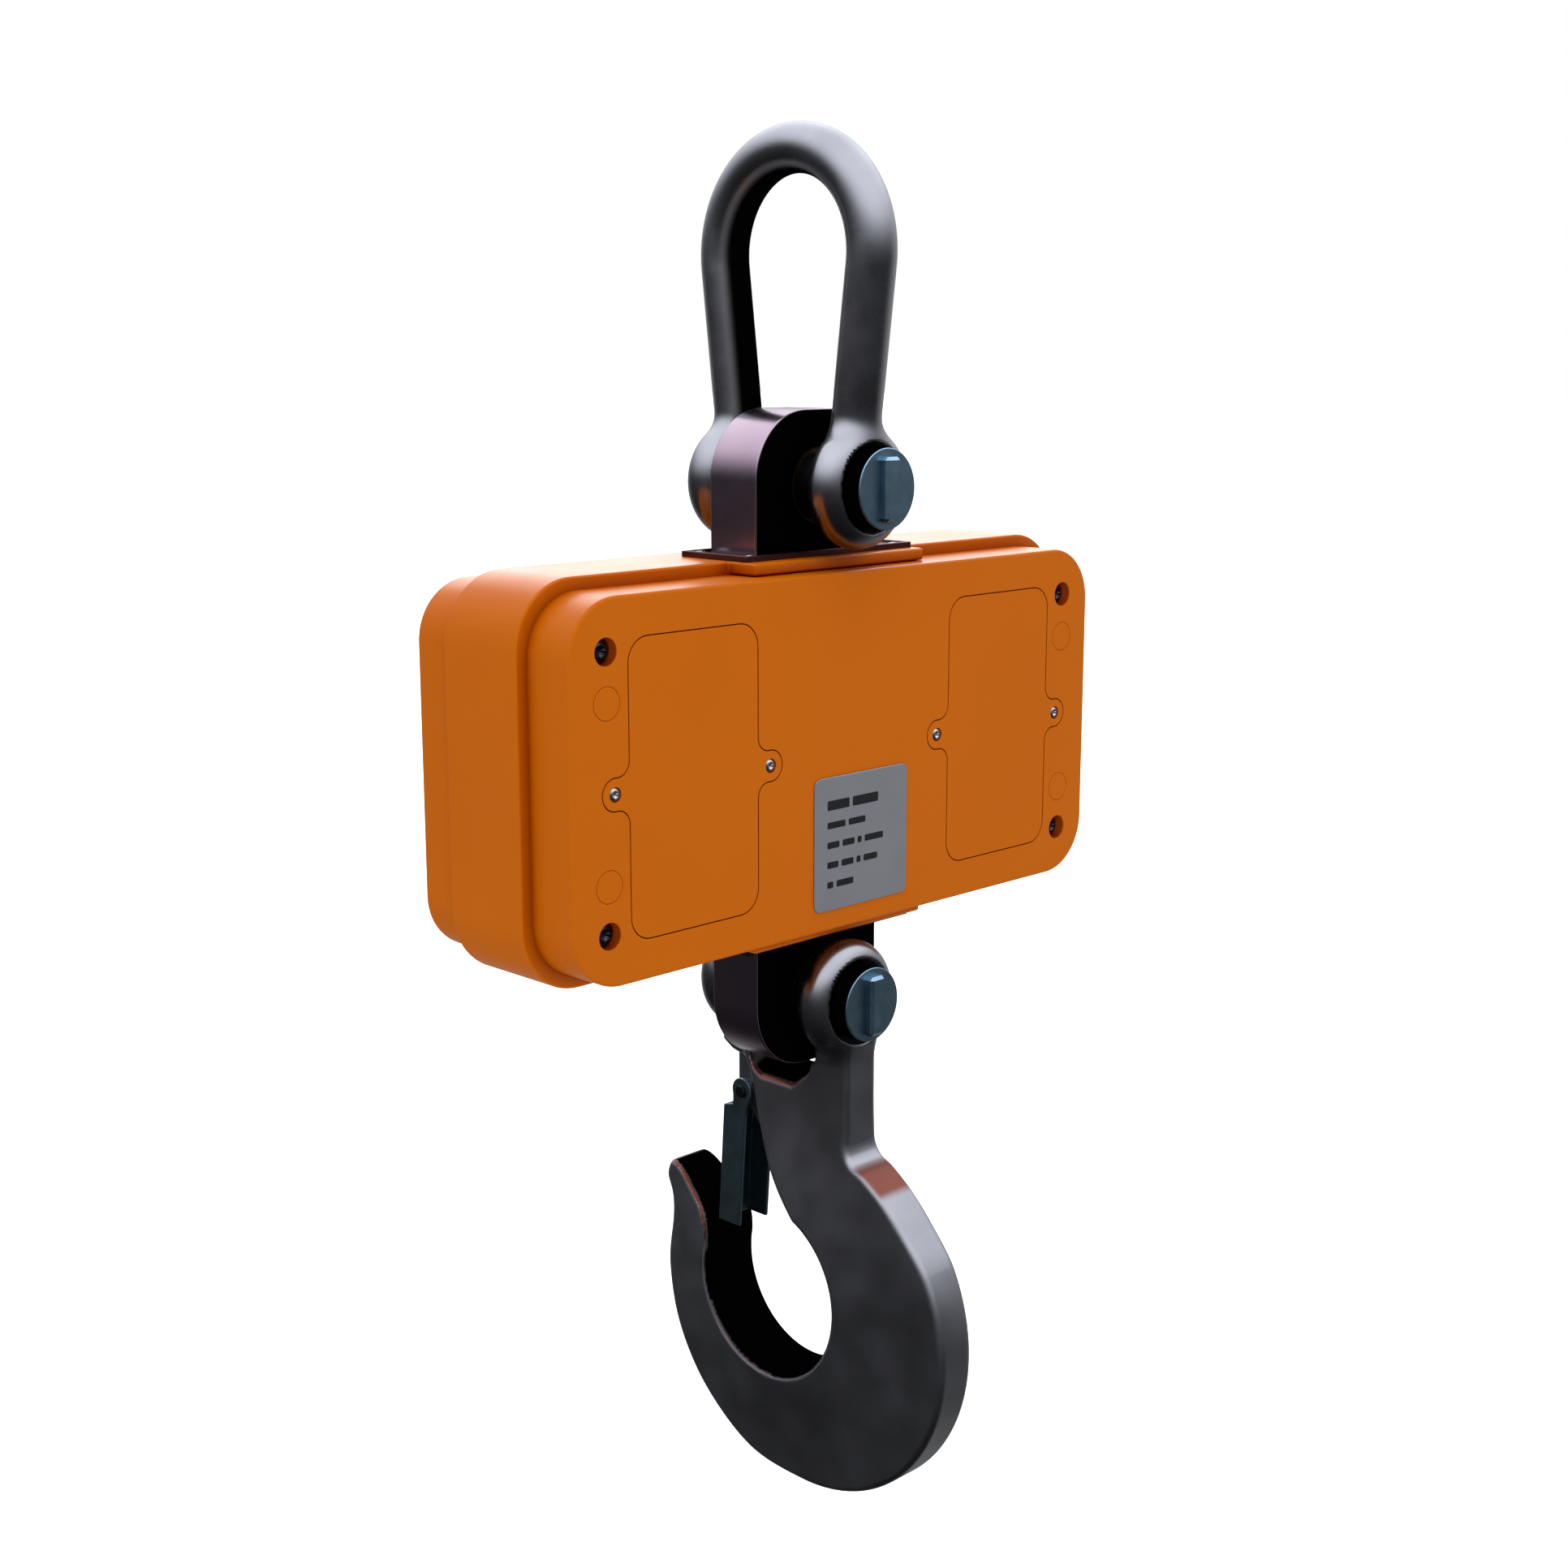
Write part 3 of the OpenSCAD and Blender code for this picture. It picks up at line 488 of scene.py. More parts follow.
SADDLE_Y, SADDLE_Z = (-16, -10, 6, 15, 16.5), (-32, -35.5, -35.5, -28, -22)
SADDLE_LIP = -30.4
SIDE = [(16.5, -8), (33, -8), (33, -40)] + SHOULDER + BELLY + NOSE + THROAT + SADDLE
FRONT_ARM = [(-32.3, -8), (-16.5, -8), (-16.5, -22), (-15, -32), (-26.5, -30), (-31.7, -27)]
RIB = [(-31, -26), (-26.5, -30), (-26.5, -47), (-16, -57), (-8, -62), (-8, -38), (-15, -30)]


def hook_field(x, y, z):
    z = z - Z_LOW
    from_bowl = length(y - BOWL[0], z - BOWL[1])
    flat = np.maximum(outline_distance(SIDE, y, z), BOWL[2] - from_bowl)
    flare = smooth_max((FLANK_R - from_bowl) / (FLANK_R - BOWL[2]), 0, 0.5)
    thicker = (BOWL_T - HOOK_T) / 2 * np.minimum(flare, 1)
    solid = rounded_plate(flat, x, HOOK_T / 2 + thicker, HOOK_EDGE)
    arm = rounded_plate(outline_distance(FRONT_ARM, y, z), x, HOOK_T / 2 - 1, 2)
    rib = rounded_plate(outline_distance(RIB, y, z), x, 3.6, 1)
    solid = smooth_min(smooth_min(solid, arm, 3), rib, 2)
    solid = smooth_min(solid, ear(x, np.abs(y), z, LOW_EAR_Y), EAR_BLEND)
    # The saddle falls from a lip on the display's right to a deep notch on its left
    low = np.interp(y, SADDLE_Y, SADDLE_Z)
    floor = low + (HOOK_T / 2 - x) / HOOK_T * np.maximum(SADDLE_LIP - low, 0)
    between = np.abs(y) - LOW_EAR_Y + EAR_T / 2
    solid = smooth_max(solid, -smooth_max(0.9 * (floor - z), between, 5), 2)
    throat = np.maximum(length(x, z) - LOW_THROAT_R, between)
    solid = drill(smooth_max(solid, -throat, THROAT_EDGE), x, y, z, LOW_EAR_Y)
    return smooth_max(solid, PIVOT_R - length(y - PIVOT[0], z - PIVOT[1]), 0.3)


def slope(field, p, d):
    """The field's gradient at points p, where its values are d."""
    step = 0.02
    return np.stack([(field(*(p + step * axis).T) - d) / step for axis in np.eye(3)], 1)


def mark(obj, name, values):
    """Stores one value a vertex for the materials to read."""
    layer = obj.data.attributes.new(name, "FLOAT", "POINT")
    layer.data.foreach_set("value", np.asarray(values, dtype=np.float32))


def forged(name, field, marks, lo, hi, body, node):
    """A mesh of the surface where the field is zero: one vertex a grid cell, slid on to the surface."""
    axes = [np.arange(a, b + GRID, GRID) for a, b in zip(lo, hi)]
    x, y, z = np.meshgrid(*axes, indexing="ij", sparse=True)
    values = field(x, y, z)
    shape = np.array(values.shape)
    total, count = np.zeros((*shape, 3)), np.zeros(shape)
    rings = []
    for a in range(3):
        b, c = (a + 1) % 3, (a + 2) % 3
        first = np.take(values, range(shape[a] - 1), a)
        second = np.take(values, range(1, shape[a]), a)
        spots = np.argwhere((first < 0) != (second < 0))
        f, s = first[tuple(spots.T)], second[tuple(spots.T)]
        points = spots.astype(float)
        points[:, a] += f / (f - s)
        ring = []
        for db, dc in ((-1, -1), (0, -1), (0, 0), (-1, 0)):
            cell = spots.copy()
            cell[:, b] += db
            cell[:, c] += dc
            np.add.at(total, tuple(cell.T), points)
            np.add.at(count, tuple(cell.T), 1)
            ring.append(cell)
        ring = np.stack(ring, 1)
        ring[f > 0] = ring[f > 0][:, ::-1]
        rings.append(ring)
    used = count > 0
    index = np.full(shape, -1)
    index[used] = np.arange(used.sum())
    p = total[used] / count[used][:, None] * GRID + np.array(lo)
    quads = np.concatenate([index[tuple(r.reshape(-1, 3).T)].reshape(-1, 4) for r in rings])
    pairs = np.concatenate([quads[:, [i, (i + 1) % 4]] for i in range(4)])
    for _ in range(2):
        near, number = np.zeros_like(p), np.zeros(len(p))
        np.add.at(near, pairs[:, 0], p[pairs[:, 1]])
        np.add.at(number, pairs[:, 0], 1)
        p = 0.5 * p + 0.5 * near / number[:, None]
        d = field(*p.T)
        g = slope(field, p, d)
        p -= (np.clip(d, -1, 1) / np.maximum((g * g).sum(1), 0.3))[:, None] * g
    obj = piece(name, p, quads, "forged_steel", body)
    g = slope(field, p, field(*p.T))
    g /= np.linalg.norm(g, axis=1, keepdims=True)
    obj.data.normals_split_custom_set_from_vertices(g)
    # The marks: painted shade on the inner faces, and rust-brown lips with a painted sheen.
    inner, rust_and_sheen = marks(p, g)
    mark(obj, "inner", inner)
    mark(obj, "rust_and_sheen", rust_and_sheen)
    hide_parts(node)


def ease(v, lo, hi):
    """0 at lo and 1 at hi, smoothly between."""
    t = np.clip((v - lo) / (hi - lo), 0, 1)
    return t * t * (3 - 2 * t)


def facing(p, n, y, z):
    """How squarely the surface faces a line along X through (y, z), from -1 to 1."""
    dy, dz = y - p[:, 1], z - p[:, 2]
    return (n[:, 1] * dy + n[:, 2] * dz) / np.maximum(length(dy, dz), 1e-6)


def in_seat(p, n, z, ear_y):
    """1 inside a pin head's counterbore."""
    rho = length(p[:, 0], p[:, 2] - z)
    return ease(CBORE_R + 0.6 - rho, 0, 1) * ease(ear_y + EAR_T / 2 - 0.4 - np.abs(p[:, 1]), 0, 1)


def shackle_marks(p, n):
    """Where the shackle is painted black as shade, and where it is rusty."""
    # Painted shade: the bow's inner faces and the counterbores.
    bar = ease(facing(p, n, 0, np.minimum(p[:, 2], BAR_R - BOW_HALF)), 0.45, 0.85)
    bar *= ease(p[:, 2], Z_TOP + 12, Z_TOP + 24)
    return np.maximum(bar, in_seat(p, n, Z_TOP, TOP_EAR_Y)), np.zeros(len(p))


def hook_marks(p, n):
    """Where the hook is painted black as shade, and where it is rusty, with a painted sheen on the shoulder.
    """
    y, z = p[:, 1], p[:, 2] - Z_LOW
    # Painted shade: the bowl, the point's upper back, the saddle floor and the counterbores.
    in_bowl = facing(p, n, BOWL[0], Z_LOW + BOWL[1])
    up_back = 0.8 * n[:, 1] + 0.6 * n[:, 2]
    at_point = ease(-y, 30, 34) * ease(z, -128, -120) * (z < -78)
    bowl = ease(in_bowl, 0.35, 0.75) * (z < -60)
    point = ease(up_back, 0.3, 0.7) * at_point
    near = (np.abs(y) < 17) * (z > -40) * (z < -18)
    floor = ease(n[:, 2], 0.45, 0.8) * near
    inner = np.maximum.reduce([bowl, point, floor, in_seat(p, n, Z_LOW, LOW_EAR_Y)])
    lip = ease(n[:, 0], 0.4, 0.55) * ease(n[:, 0], 0.97, 0.85)
    edge = lip * ease(up_back, 0.15, 0.4) * at_point * ease(z, -112, -104)
    bottom = lip * ease(in_bowl, 0.2, 0.5) * (z < -130) * (y < 0)
    # Painted sheen: a rust-brown patch on the shoulder's upward faces stands for a reflection.
    sheen = ease(length((y - 44) / 9, (z + 63) / 9), 1, 0.55) * ease(n[:, 2], 0.5, 0.8)
    rust_and_sheen = np.maximum.reduce([lip * near * ease(n[:, 2], 0.1, 0.3), edge, 0.4 * bottom, 0.9 * sheen])
    return inner * (1 - rust_and_sheen), rust_and_sheen


forged("shackle_forging", shackle_field, shackle_marks, (-23, -45, Z_TOP - 23), (23, 45, 2 * BAR_R + 2),
       "shackle", "shackle")
forged("hook_forging", hook_field, hook_marks, (-23, -66, Z_LOW - 192), (23, 82, Z_LOW + 23),
       "hook", "hook")


# ---------- turned, swept and bent pieces ----------
def merged(*parts):
    """Several (points, faces) as one."""
    points, faces = [], []
    for p, f in parts:
        faces += [tuple(i + len(points) for i in face) for face in f]
        points += [tuple(v) for v in p]
    return points, faces


def moved(part, place, turn=Matrix.Identity(3)):
    points, faces = part
    return [tuple(turn @ Vector(v) + Vector(place)) for v in points], faces


def round_corners(points, radius):
    """An open line of (r, y) points with its inner corners rounded."""
    out = [points[0]]
    steps = 4
    for a, b, c in zip(points, points[1:], points[2:]):
        a, b, c = Vector(a), Vector(b), Vector(c)
        r = min(radius, 0.45 * (a - b).length, 0.45 * (c - b).length)
        start, end = b + (a - b).normalized() * r, b + (c - b).normalized() * r
        for i in range(steps + 1):
            t = i / steps
            out.append(tuple(start * (1 - t) ** 2 + b * 2 * t * (1 - t) + end * t ** 2))
    return out + [points[-1]]


def turned(profile, around, wave=None):
    """A solid of revolution about +Y from (r, y) points, first and last on or near the axis.
    wave(r, y, angle) may change a ring's radius."""
    points, faces = [], []
    for r, y in profile:
        for i in range(around):
            angle = TAU * i / around
            q = wave(r, y, angle) if wave else r
            points.append((q * math.sin(angle), y, q * math.cos(angle)))
    for k in range(len(profile) - 1):
        for i in range(around):
            j = (i + 1) % around
            a, b = k * around, (k + 1) * around
            faces.append((a + i, b + i, b + j, a + j))
    faces.append(tuple(range(around)))
    faces.append(tuple(reversed([(len(profile) - 1) * around + i for i in range(around)])))
    return points, faces


def swept(path, radius, sides=12):
    """A round wire along a path."""
    path = [Vector(p) for p in path]
    points, faces = [], []
    normal = None
    for i, p in enumerate(path):
        along = (path[min(i + 1, len(path) - 1)] - path[max(i - 1, 0)]).normalized()
        if normal is None:
            normal = along.orthogonal()
        normal = (normal - along * normal.dot(along)).normalized()
        other = along.cross(normal)
        for k in range(sides):
            a = TAU * k / sides
            points.append(tuple(p + radius * (normal * math.cos(a) + other * math.sin(a))))
    for i in range(len(path) - 1):
        for k in range(sides):
            j = (k + 1) % sides
            faces.append((i * sides + k, i * sides + j, (i + 1) * sides + j, (i + 1) * sides + k))
    faces.append(tuple(reversed(range(sides))))
    faces.append(tuple((len(path) - 1) * sides + k for k in range(sides)))
    return points, faces


def bevelled_block(lo, hi, bevel):
    """A block with all its edges cut back."""
    bm = bmesh.new()
    bmesh.ops.create_cube(bm, size=1)
    for v in bm.verts:
        v.co = Vector([a + (c + 0.5) * (b - a) for a, b, c in zip(lo, hi, v.co)])
    bmesh.ops.bevel(bm, geom=list(bm.edges), offset=bevel, segments=1, profile=0.5, affect="EDGES")
    bm.verts.index_update()
    part = [tuple(v.co) for v in bm.verts], [tuple(v.index for v in f.verts) for f in bm.faces]
    bm.free()
    return part


WASHER_T, NUT_T, PIN_TAIL = 1.5, 5, 4.4
HEAD_PROUD = 5.5
GRIP_X, GRIP_Z, GRIP_PROUD = 3.5, 10.75, 3.2
TAIL_CHAMFER = 1.2


def clevis_pin(name, ear_y, z, head_r, body, node):
    """Round head with a chamfered rim and a raised grip bar, shaft, and a chamfered tail."""
    outer = ear_y + EAR_T / 2
    seat, face = outer - CBORE_DEEP, outer + HEAD_PROUD
    tail = -(seat + WASHER_T + NUT_T + PIN_TAIL)
    shaft = PIN_R - 0.05
    profile = [(0.01, tail), (shaft - TAIL_CHAMFER, tail), (shaft, tail + TAIL_CHAMFER), (shaft, seat),
               (head_r, seat), (head_r, face), (0.01, face)]
    grip = bevelled_block((-GRIP_X, face - 1, -GRIP_Z), (GRIP_X, face + GRIP_PROUD, GRIP_Z), 1.1)
    part = moved(merged(turned(round_corners(profile, 0.45), 96), grip), (0, 0, z))
    obj = piece(name, *part, "pin_steel", body)
    obj.data.set_sharp_from_angle(angle=math.radians(32))
    p = np.array(part[0])
    rho = length(p[:, 0], p[:, 2] - z)
    # Painted shade on the head's side, down in the counterbore.
    mark(obj, "inner", (rho > head_r - 0.1) & (p[:, 1] > seat - 0.1) & (p[:, 1] < face - 0.4))
    modify(obj, "WEIGHTED_NORMAL", weight=50, keep_sharp=True)
    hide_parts(node)


clevis_pin("shackle_pin_turned", TOP_EAR_Y, Z_TOP, 13.7, "shackle", "shackle_pin")
clevis_pin("hook_pin_turned", LOW_EAR_Y, Z_LOW, 13.3, "hook", "hook_pin")


def split_pin(name, ear_y, z, body, node):
    """A cotter pin across the tail, half turned: an eye, two half-round legs and bent ends."""
    y = -(ear_y + EAR_T / 2 - CBORE_DEEP + WASHER_T + NUT_T + PIN_TAIL / 2)
    reach = PIN_R + 4
    wire, ring = 0.72, 2.6
    parts = []
    for side in (-1, 1):
        loop = [(side * (wire + (ring - wire) * math.sin(math.pi * i / 12) ** 0.8), 0,
                 reach + ring * (1 - math.cos(math.pi * i / 12))) for i in range(13)]
        leg = [(side * wire, 0, -reach + 3), (side * wire, 0, 0), (side * wire, 0, reach - 1)]
        end = [(side * (wire + 3.2 - 0.5 * i), 0, -reach + 0.6 * i - 0.2) for i in range(5)]
        parts.append(swept(end + leg + loop, wire))
    obj = piece(name, *moved(merged(*parts), (0, y, z), Matrix.Rotation(-math.pi / 4, 3, "Y")),
                "bright_steel", body)
    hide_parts(node)


split_pin("shackle_split_pin_bent", TOP_EAR_Y, Z_TOP, "shackle", "shackle_split_pin")
split_pin("hook_split_pin_bent", LOW_EAR_Y, Z_LOW, "hook", "hook_split_pin")


def star_screw(head_r, dome, side, star_r, shaft_r, shaft):
    """A domed screw along +Y, its seat at y = 0, with a six-lobed recess."""
    rim = star_r * 1.15
    sphere = (head_r ** 2 + dome ** 2) / (2 * dome)
    domed = [(r, side + dome - sphere + math.sqrt(sphere ** 2 - r * r))
             for r in np.linspace(head_r, rim, 7)]
    top = domed[-1][1]
    profile = [(0.01, -shaft), (shaft_r, -shaft), (shaft_r, 0), (head_r, 0)] + domed
    lobed = [(star_r, top - 0.05), (star_r * 0.97, top - 0.7), (0.01, top - 0.75)]

    def wave(r, y, angle):
        inside = y > 0 and r <= star_r
        return r * (1 + 0.16 * math.cos(6 * angle)) if inside else r

    return turned(profile + lobed, 48, wave)


def screws(name, part, places, material, body, node, turn=Matrix.Identity(3)):
    """Copies of a screw at several places, in one piece."""
    stand_in(name, merged(*[moved(part, place, turn) for place in places]), material, body, node)


def four(x, z, y):
    """One place at each corner of the housing."""
    return [(i * x, y, Z_BOX + k * z) for i, k in CORNERS]


SCREW_X, SCREW_Z = 113, 45
RECESS, RECESS_R = 5, 4.4
cover_screw = star_screw(4.1, 1.4, 1.4, 1.7, 1.9, 22)
screws("back_star_screws", cover_screw, four(SCREW_X, SCREW_Z, FACE_BACK - RECESS), "dark_steel",
       "scale_body", "back_cover_screws")
screws("front_star_screws", cover_screw, four(SCREW_X, SCREW_Z, FACE_FRONT + RECESS), "dark_steel",
       "scale_body", "front_cover_screws", Matrix.Rotation(math.pi, 3, "Z"))
LID_X, LID_REACH = 76, 34
LID_SEAT = 1.35
lid_places = [(s * LID_X + t * LID_REACH, FACE_BACK - LID_SEAT, Z_BOX) for s, t in CORNERS]
screws("lid_star_screws", star_screw(2.25, 0.7, 0.75, 1.05, 1.2, 4), lid_places, "bright_steel",
       "scale_body", "battery_lid_screws")


PLATE_SCREW_X, PLATE_SCREW_Y = (-36, 36), (-10.5, 13.5)
SEAL_PLATE_T = 1.2


def plate_screws():
    """The seal plates' screws, head up on the top plate and head down on the bottom one."""
    part = star_screw(2.1, 0.35, 0.35, 0.9, 1.1, 5)
    half = middle("main_housing").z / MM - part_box("main_housing")[0].z / MM + SEAL_PLATE_T
    parts = [moved(part, (x, y, Z_BOX + side * half), Matrix.Rotation(side * math.pi / 2, 3, "X"))
             for side in (-1, 1) for x in PLATE_SCREW_X for y in PLATE_SCREW_Y]
    stand_in("plate_star_screws", merged(*parts), "bright_steel", "scale_body", "seal_plate_screws")


plate_screws()


def latch_spring():
    """Close-wound coils on the latch pin either side of the rib, with a leg down each flange."""
    wire, coil, pitch = 0.45, 2.7, 0.5
    turns, steps = 2.5, 24
    inner_x = 4.4
    outer_x = inner_x + turns * pitch
    lean = math.radians(14.5)
    parts = []
    for side in (-1, 1):
        helix = []
        for i in range(int(turns * steps) + 1):
            a = math.pi + TAU * i / steps
            helix.append((side * (inner_x + i / steps * pitch), coil * math.cos(a), coil * math.sin(a)))
        leg = [(side * inner_x, -coil - t * math.sin(lean), -t * math.cos(lean)) for t in (21, 14, 7, 1)]
        up = [(side * outer_x, coil - inward, z) for inward, z in ((0, 0.8), (0.1, 2), (0.3, 3.5))]
        parts.append(swept(leg + helix + up, wire, 10))
    part = moved(merged(*parts), (0, PIVOT[0], Z_LOW + PIVOT[1]))
    obj = piece("latch_spring_wound", *part, "bright_steel", "latch", SLOT_OF["latch_spring"])
    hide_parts("latch_spring")


latch_spring()


# ---------- the back cover, its lids, plugs and label ----------
WALL = 4
COVER_R, COVER_EDGE = 20, 1.1
BOSS_WALL = 2.5
PLUG_Z, PLUG_R, PLUG_T = 29, 5.4, 1.5
LID_T, LID_SEAL, LID_GAP = 3, 0.8, 0.3
LID_R, TAB_R, TAB_OUT, TAB_FILLET = 8, 5.2, 6, 5
PAN_T, PAN_RIM = 4, 2
WELL_W, WELL_H, WELL_BACK, WELL_WALL = 50, 88, 6, 2
LABEL_R = 3


def oval(cx, cz, w, h, r, steps=10):
    """A rounded rectangle's points in (x, z), counterclockwise from the right end of its top."""
    return [(cx + sx * (w / 2 - r) + r * math.cos(math.pi / 2 * (q + i / steps)),
             cz + sz * (h / 2 - r) + r * math.sin(math.pi / 2 * (q + i / steps)))
            for q, (sx, sz) in enumerate(((1, 1), (-1, 1), (-1, -1), (1, -1))) for i in range(steps + 1)]


def disc(cx, cz, r, n=48):
    return [(cx + r * math.cos(TAU * i / n), cz + r * math.sin(TAU * i / n)) for i in range(n)]


LID_W, LID_H = (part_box("battery_lid_left")[1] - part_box("battery_lid_left")[0]).xz / MM
LID_W -= 2 * (TAB_OUT + TAB_R)


def lid_line(cx, grow):
    """A lid's outline: a rounded plate with a round screw tab on each side."""
    reach = TAB_R + TAB_FILLET
    rise = math.sqrt(reach ** 2 - (TAB_OUT - TAB_FILLET) ** 2)
    turn = math.degrees(math.atan2(rise, TAB_OUT - TAB_FILLET))
    half, high, r = LID_W / 2, LID_H / 2, LID_R + grow
    right = (arc(half - LID_R, LID_R - high, r, -90, 0, 10)
             + arc(half + TAB_FILLET, -rise, TAB_FILLET - grow, 180, turn, 8)
             + arc(half + TAB_OUT, 0, TAB_R + grow, turn - 180, 180 - turn, 24)
             + arc(half + TAB_FILLET, rise, TAB_FILLET - grow, -turn, -180, 8)
             + arc(half - LID_R, high - LID_R, r, 0, 90, 10))
    return [(cx + x, Z_BOX + z) for x, z in right] + [(cx - x, Z_BOX - z) for x, z in right]


class Casting:
    """A closed mesh put together from outlines in (x, z), each at its own y."""

    def __init__(self):
        self.points, self.faces = [], []

    def loop(self, outline, y):
        start = len(self.points)
        self.points += [(x, y, z) for x, z in outline]
        return list(range(start, len(self.points)))

    def walls(self, *rings):
        """Joins outlines of equal length, given as (outline, y), and returns the first and last."""
        loops = [self.loop(*ring) for ring in rings]
        for a, b in zip(loops, loops[1:]):
            n = len(a)
            self.faces += [(a[i], a[(i + 1) % n], b[(i + 1) % n], b[i]) for i in range(n)]
        return loops[0], loops[-1]

    def flat(self, outer, holes=()):
        """Fills a flat face between an outline and its holes."""
        order = [i for loop in (outer, *holes) for i in loop]
        shape = [[Vector((self.points[i][0], self.points[i][2], 0)) for i in loop]
                 for loop in (outer, *holes)]
        self.faces += [tuple(order[i] for i in t) for t in geometry.tessellate_polygon(shape)]

    def pocket(self, outline, y, floor, edge):
        """A hole with a rounded rim and a flat floor. Returns its loop in the face."""
        rim, bottom = self.walls(*[(outline(edge * (1 - math.sin(math.pi / 2 * t))),
                                    y - edge * (1 - math.cos(math.pi / 2 * t))) for t in (0, 0.5, 1)],
                                 (outline(0), floor))
        self.flat(bottom)
        return rim

    def make(self, name, material, node):
        stand_in(name, (self.points, self.faces), material, "scale_body", node)


def fillet(outline, y, r, steps=4):
    """Rings that round a top edge: outline(inset) at falling insets, up to the face at y."""
    return [(outline(r * (1 - math.cos(math.pi / 2 * i / steps))),
             y - r * (1 - math.sin(math.pi / 2 * i / steps))) for i in range(steps + 1)]


def back_cover():
    """The rear shell: screw, plug and lid seats in its face, bosses and battery wells within."""
    c = Casting()
    lo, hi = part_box("back_cover")
    w, h = (hi - lo).xz / MM

    def outline(inset):
        return oval(0, Z_BOX, w - 2 * inset, h - 2 * inset, COVER_R - inset, 16)

    y0, face, ceiling = lo.y / MM, FACE_BACK, FACE_BACK - WALL
    foot, top = c.walls((outline(0.4), y0), (outline(0), y0 + 0.4), *fillet(outline, face, COVER_EDGE))
    holes, roof = [], []
    for i, k in CORNERS:
        x, z, plug_z = i * SCREW_X, Z_BOX + k * SCREW_Z, Z_BOX + k * PLUG_Z
        holes.append(c.pocket(lambda e: disc(x, z, RECESS_R + e), face, face - RECESS, 0.45))
        boss = disc(x, z, RECESS_R + BOSS_WALL)
        high, low = c.walls((boss, ceiling), (boss, y0))
        c.flat(low)
        roof.append(high)
        holes.append(c.pocket(lambda e: disc(x, plug_z, PLUG_R + e), face, face - PLUG_T, 0.12))
    for x in (-LID_X, LID_X):
        floor, pan = face - LID_T - LID_SEAL, face - LID_T - PAN_T
        rim, ledge = c.walls(*[(lid_line(x, LID_GAP + e), face - d) for e, d in
                               ((0.2, 0), (0.06, 0.06), (0, 0.2), (0, face - floor))])
        holes.append(rim)
        well = oval(x, Z_BOX, WELL_W, WELL_H, 1, 2)
        mouth, bottom = c.walls((well, floor), (well, WELL_BACK))
        c.flat(ledge, [mouth])
        c.flat(bottom)
        high, low = c.walls((lid_line(x, PAN_RIM), ceiling), (lid_line(x, PAN_RIM), pan))
        roof.append(high)
        box = oval(x, Z_BOX, WELL_W + 2 * WELL_WALL, WELL_H + 2 * WELL_WALL, 1, 2)
        neck, under = c.walls((box, pan), (box, WELL_BACK - WELL_WALL))
        c.flat(low, [neck])
        c.flat(under)
    c.flat(top, holes)
    edge, lid = c.walls((outline(WALL), y0), (outline(WALL), ceiling))
    c.flat(foot, [edge])
    c.flat(lid, roof)
    c.make("back_cover_cast", "orange_paint", "back_cover")


def battery_lid(side, node):
    """A lid with a round screw seat in each of its tabs."""
    c = Casting()
    x, face = side * LID_X, FACE_BACK
    bottom, top = c.walls((lid_line(x, 0), face - LID_T), *fillet(lambda e: lid_line(x, -e), face, 0.25, 3))
    c.flat(bottom)
    c.flat(top, [c.pocket(lambda e: disc(x + t * LID_REACH, Z_BOX, 2.4 + e, 32), face, face - 1.4, 0.15)
                 for t in (-1, 1)])
    c.make(node + "_plate", "orange_paint", node)


def cover_plugs():
    c = Casting()
    for i, k in CORNERS:
        x, z, r = i * SCREW_X, Z_BOX + k * PLUG_Z, PLUG_R - 0.1
        bottom, top = c.walls((disc(x, z, r), FACE_BACK - PLUG_T),
                              *fillet(lambda e: disc(x, z, r - e), FACE_BACK, 0.12, 2))
        c.flat(bottom)
        c.flat(top)
    c.make("cover_plugs_turned", "orange_paint", "cover_plugs")


def rating_label():
    c = Casting()
    lo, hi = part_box("rating_label")
    mid, (w, h) = (lo + hi) / 2 / MM, (hi - lo).xz / MM

    def outline(inset):
        return oval(mid.x, mid.z, w - 2 * inset, h - 2 * inset, LABEL_R - inset)

    bottom, top = c.walls((outline(0), lo.y / MM), *fillet(outline, hi.y / MM, 0.3))
    c.flat(bottom)
    c.flat(top)
    c.make("rating_label_plate", "label_plate", "rating_label")


back_cover()
battery_lid(-1, "battery_lid_left")
battery_lid(1, "battery_lid_right")
cover_plugs()
rating_label()


# ---------- label, display and key marks ----------
def lozenge(x0, x1, z0, z1, r):
    """A rounded rectangle's points in (x, z), from its sides."""
    return oval((x0 + x1) / 2, (z0 + z1) / 2, x1 - x0, z1 - z0, r, 4)


def raised(outline, y, proud, edge=0.0):
    """A thin pad of an outline in (x, z), standing out by proud from y, with its rim drawn in."""
    mid = [sum(c) / len(outline) for c in zip(*outline)]
    inner = [tuple(m + (c - m) * (1 - edge) for c, m in zip(p, mid)) for p in outline]
    n = len(outline)
    points = [(x, y, z) for x, z in outline] + [(x, y + proud, z) for x, z in inner]
    sides = [(i, i + n, (i + 1) % n + n, (i + 1) % n) for i in range(n)]
    faces = sides + [tuple(range(n)), tuple(reversed(range(n, 2 * n)))]
    return points, faces if proud > 0 else [f[::-1] for f in faces]


LABEL_X, LABEL_Z = -2, -31.3
LINE_START, WORD_GAP = 17.3, 1.6
# Each line's height on the label, its letters' height and the lengths of its words
LABEL_LINES = ((13.6, 3.4, (11, 13)), (6.6, 2.3, (9, 8.5)), (-0.4, 2.3, (6, 6, 2, 9.5)),
               (-7.4, 2.3, (5.5, 6, 2, 7)), (-14.4, 2.3, (3, 8.5)))


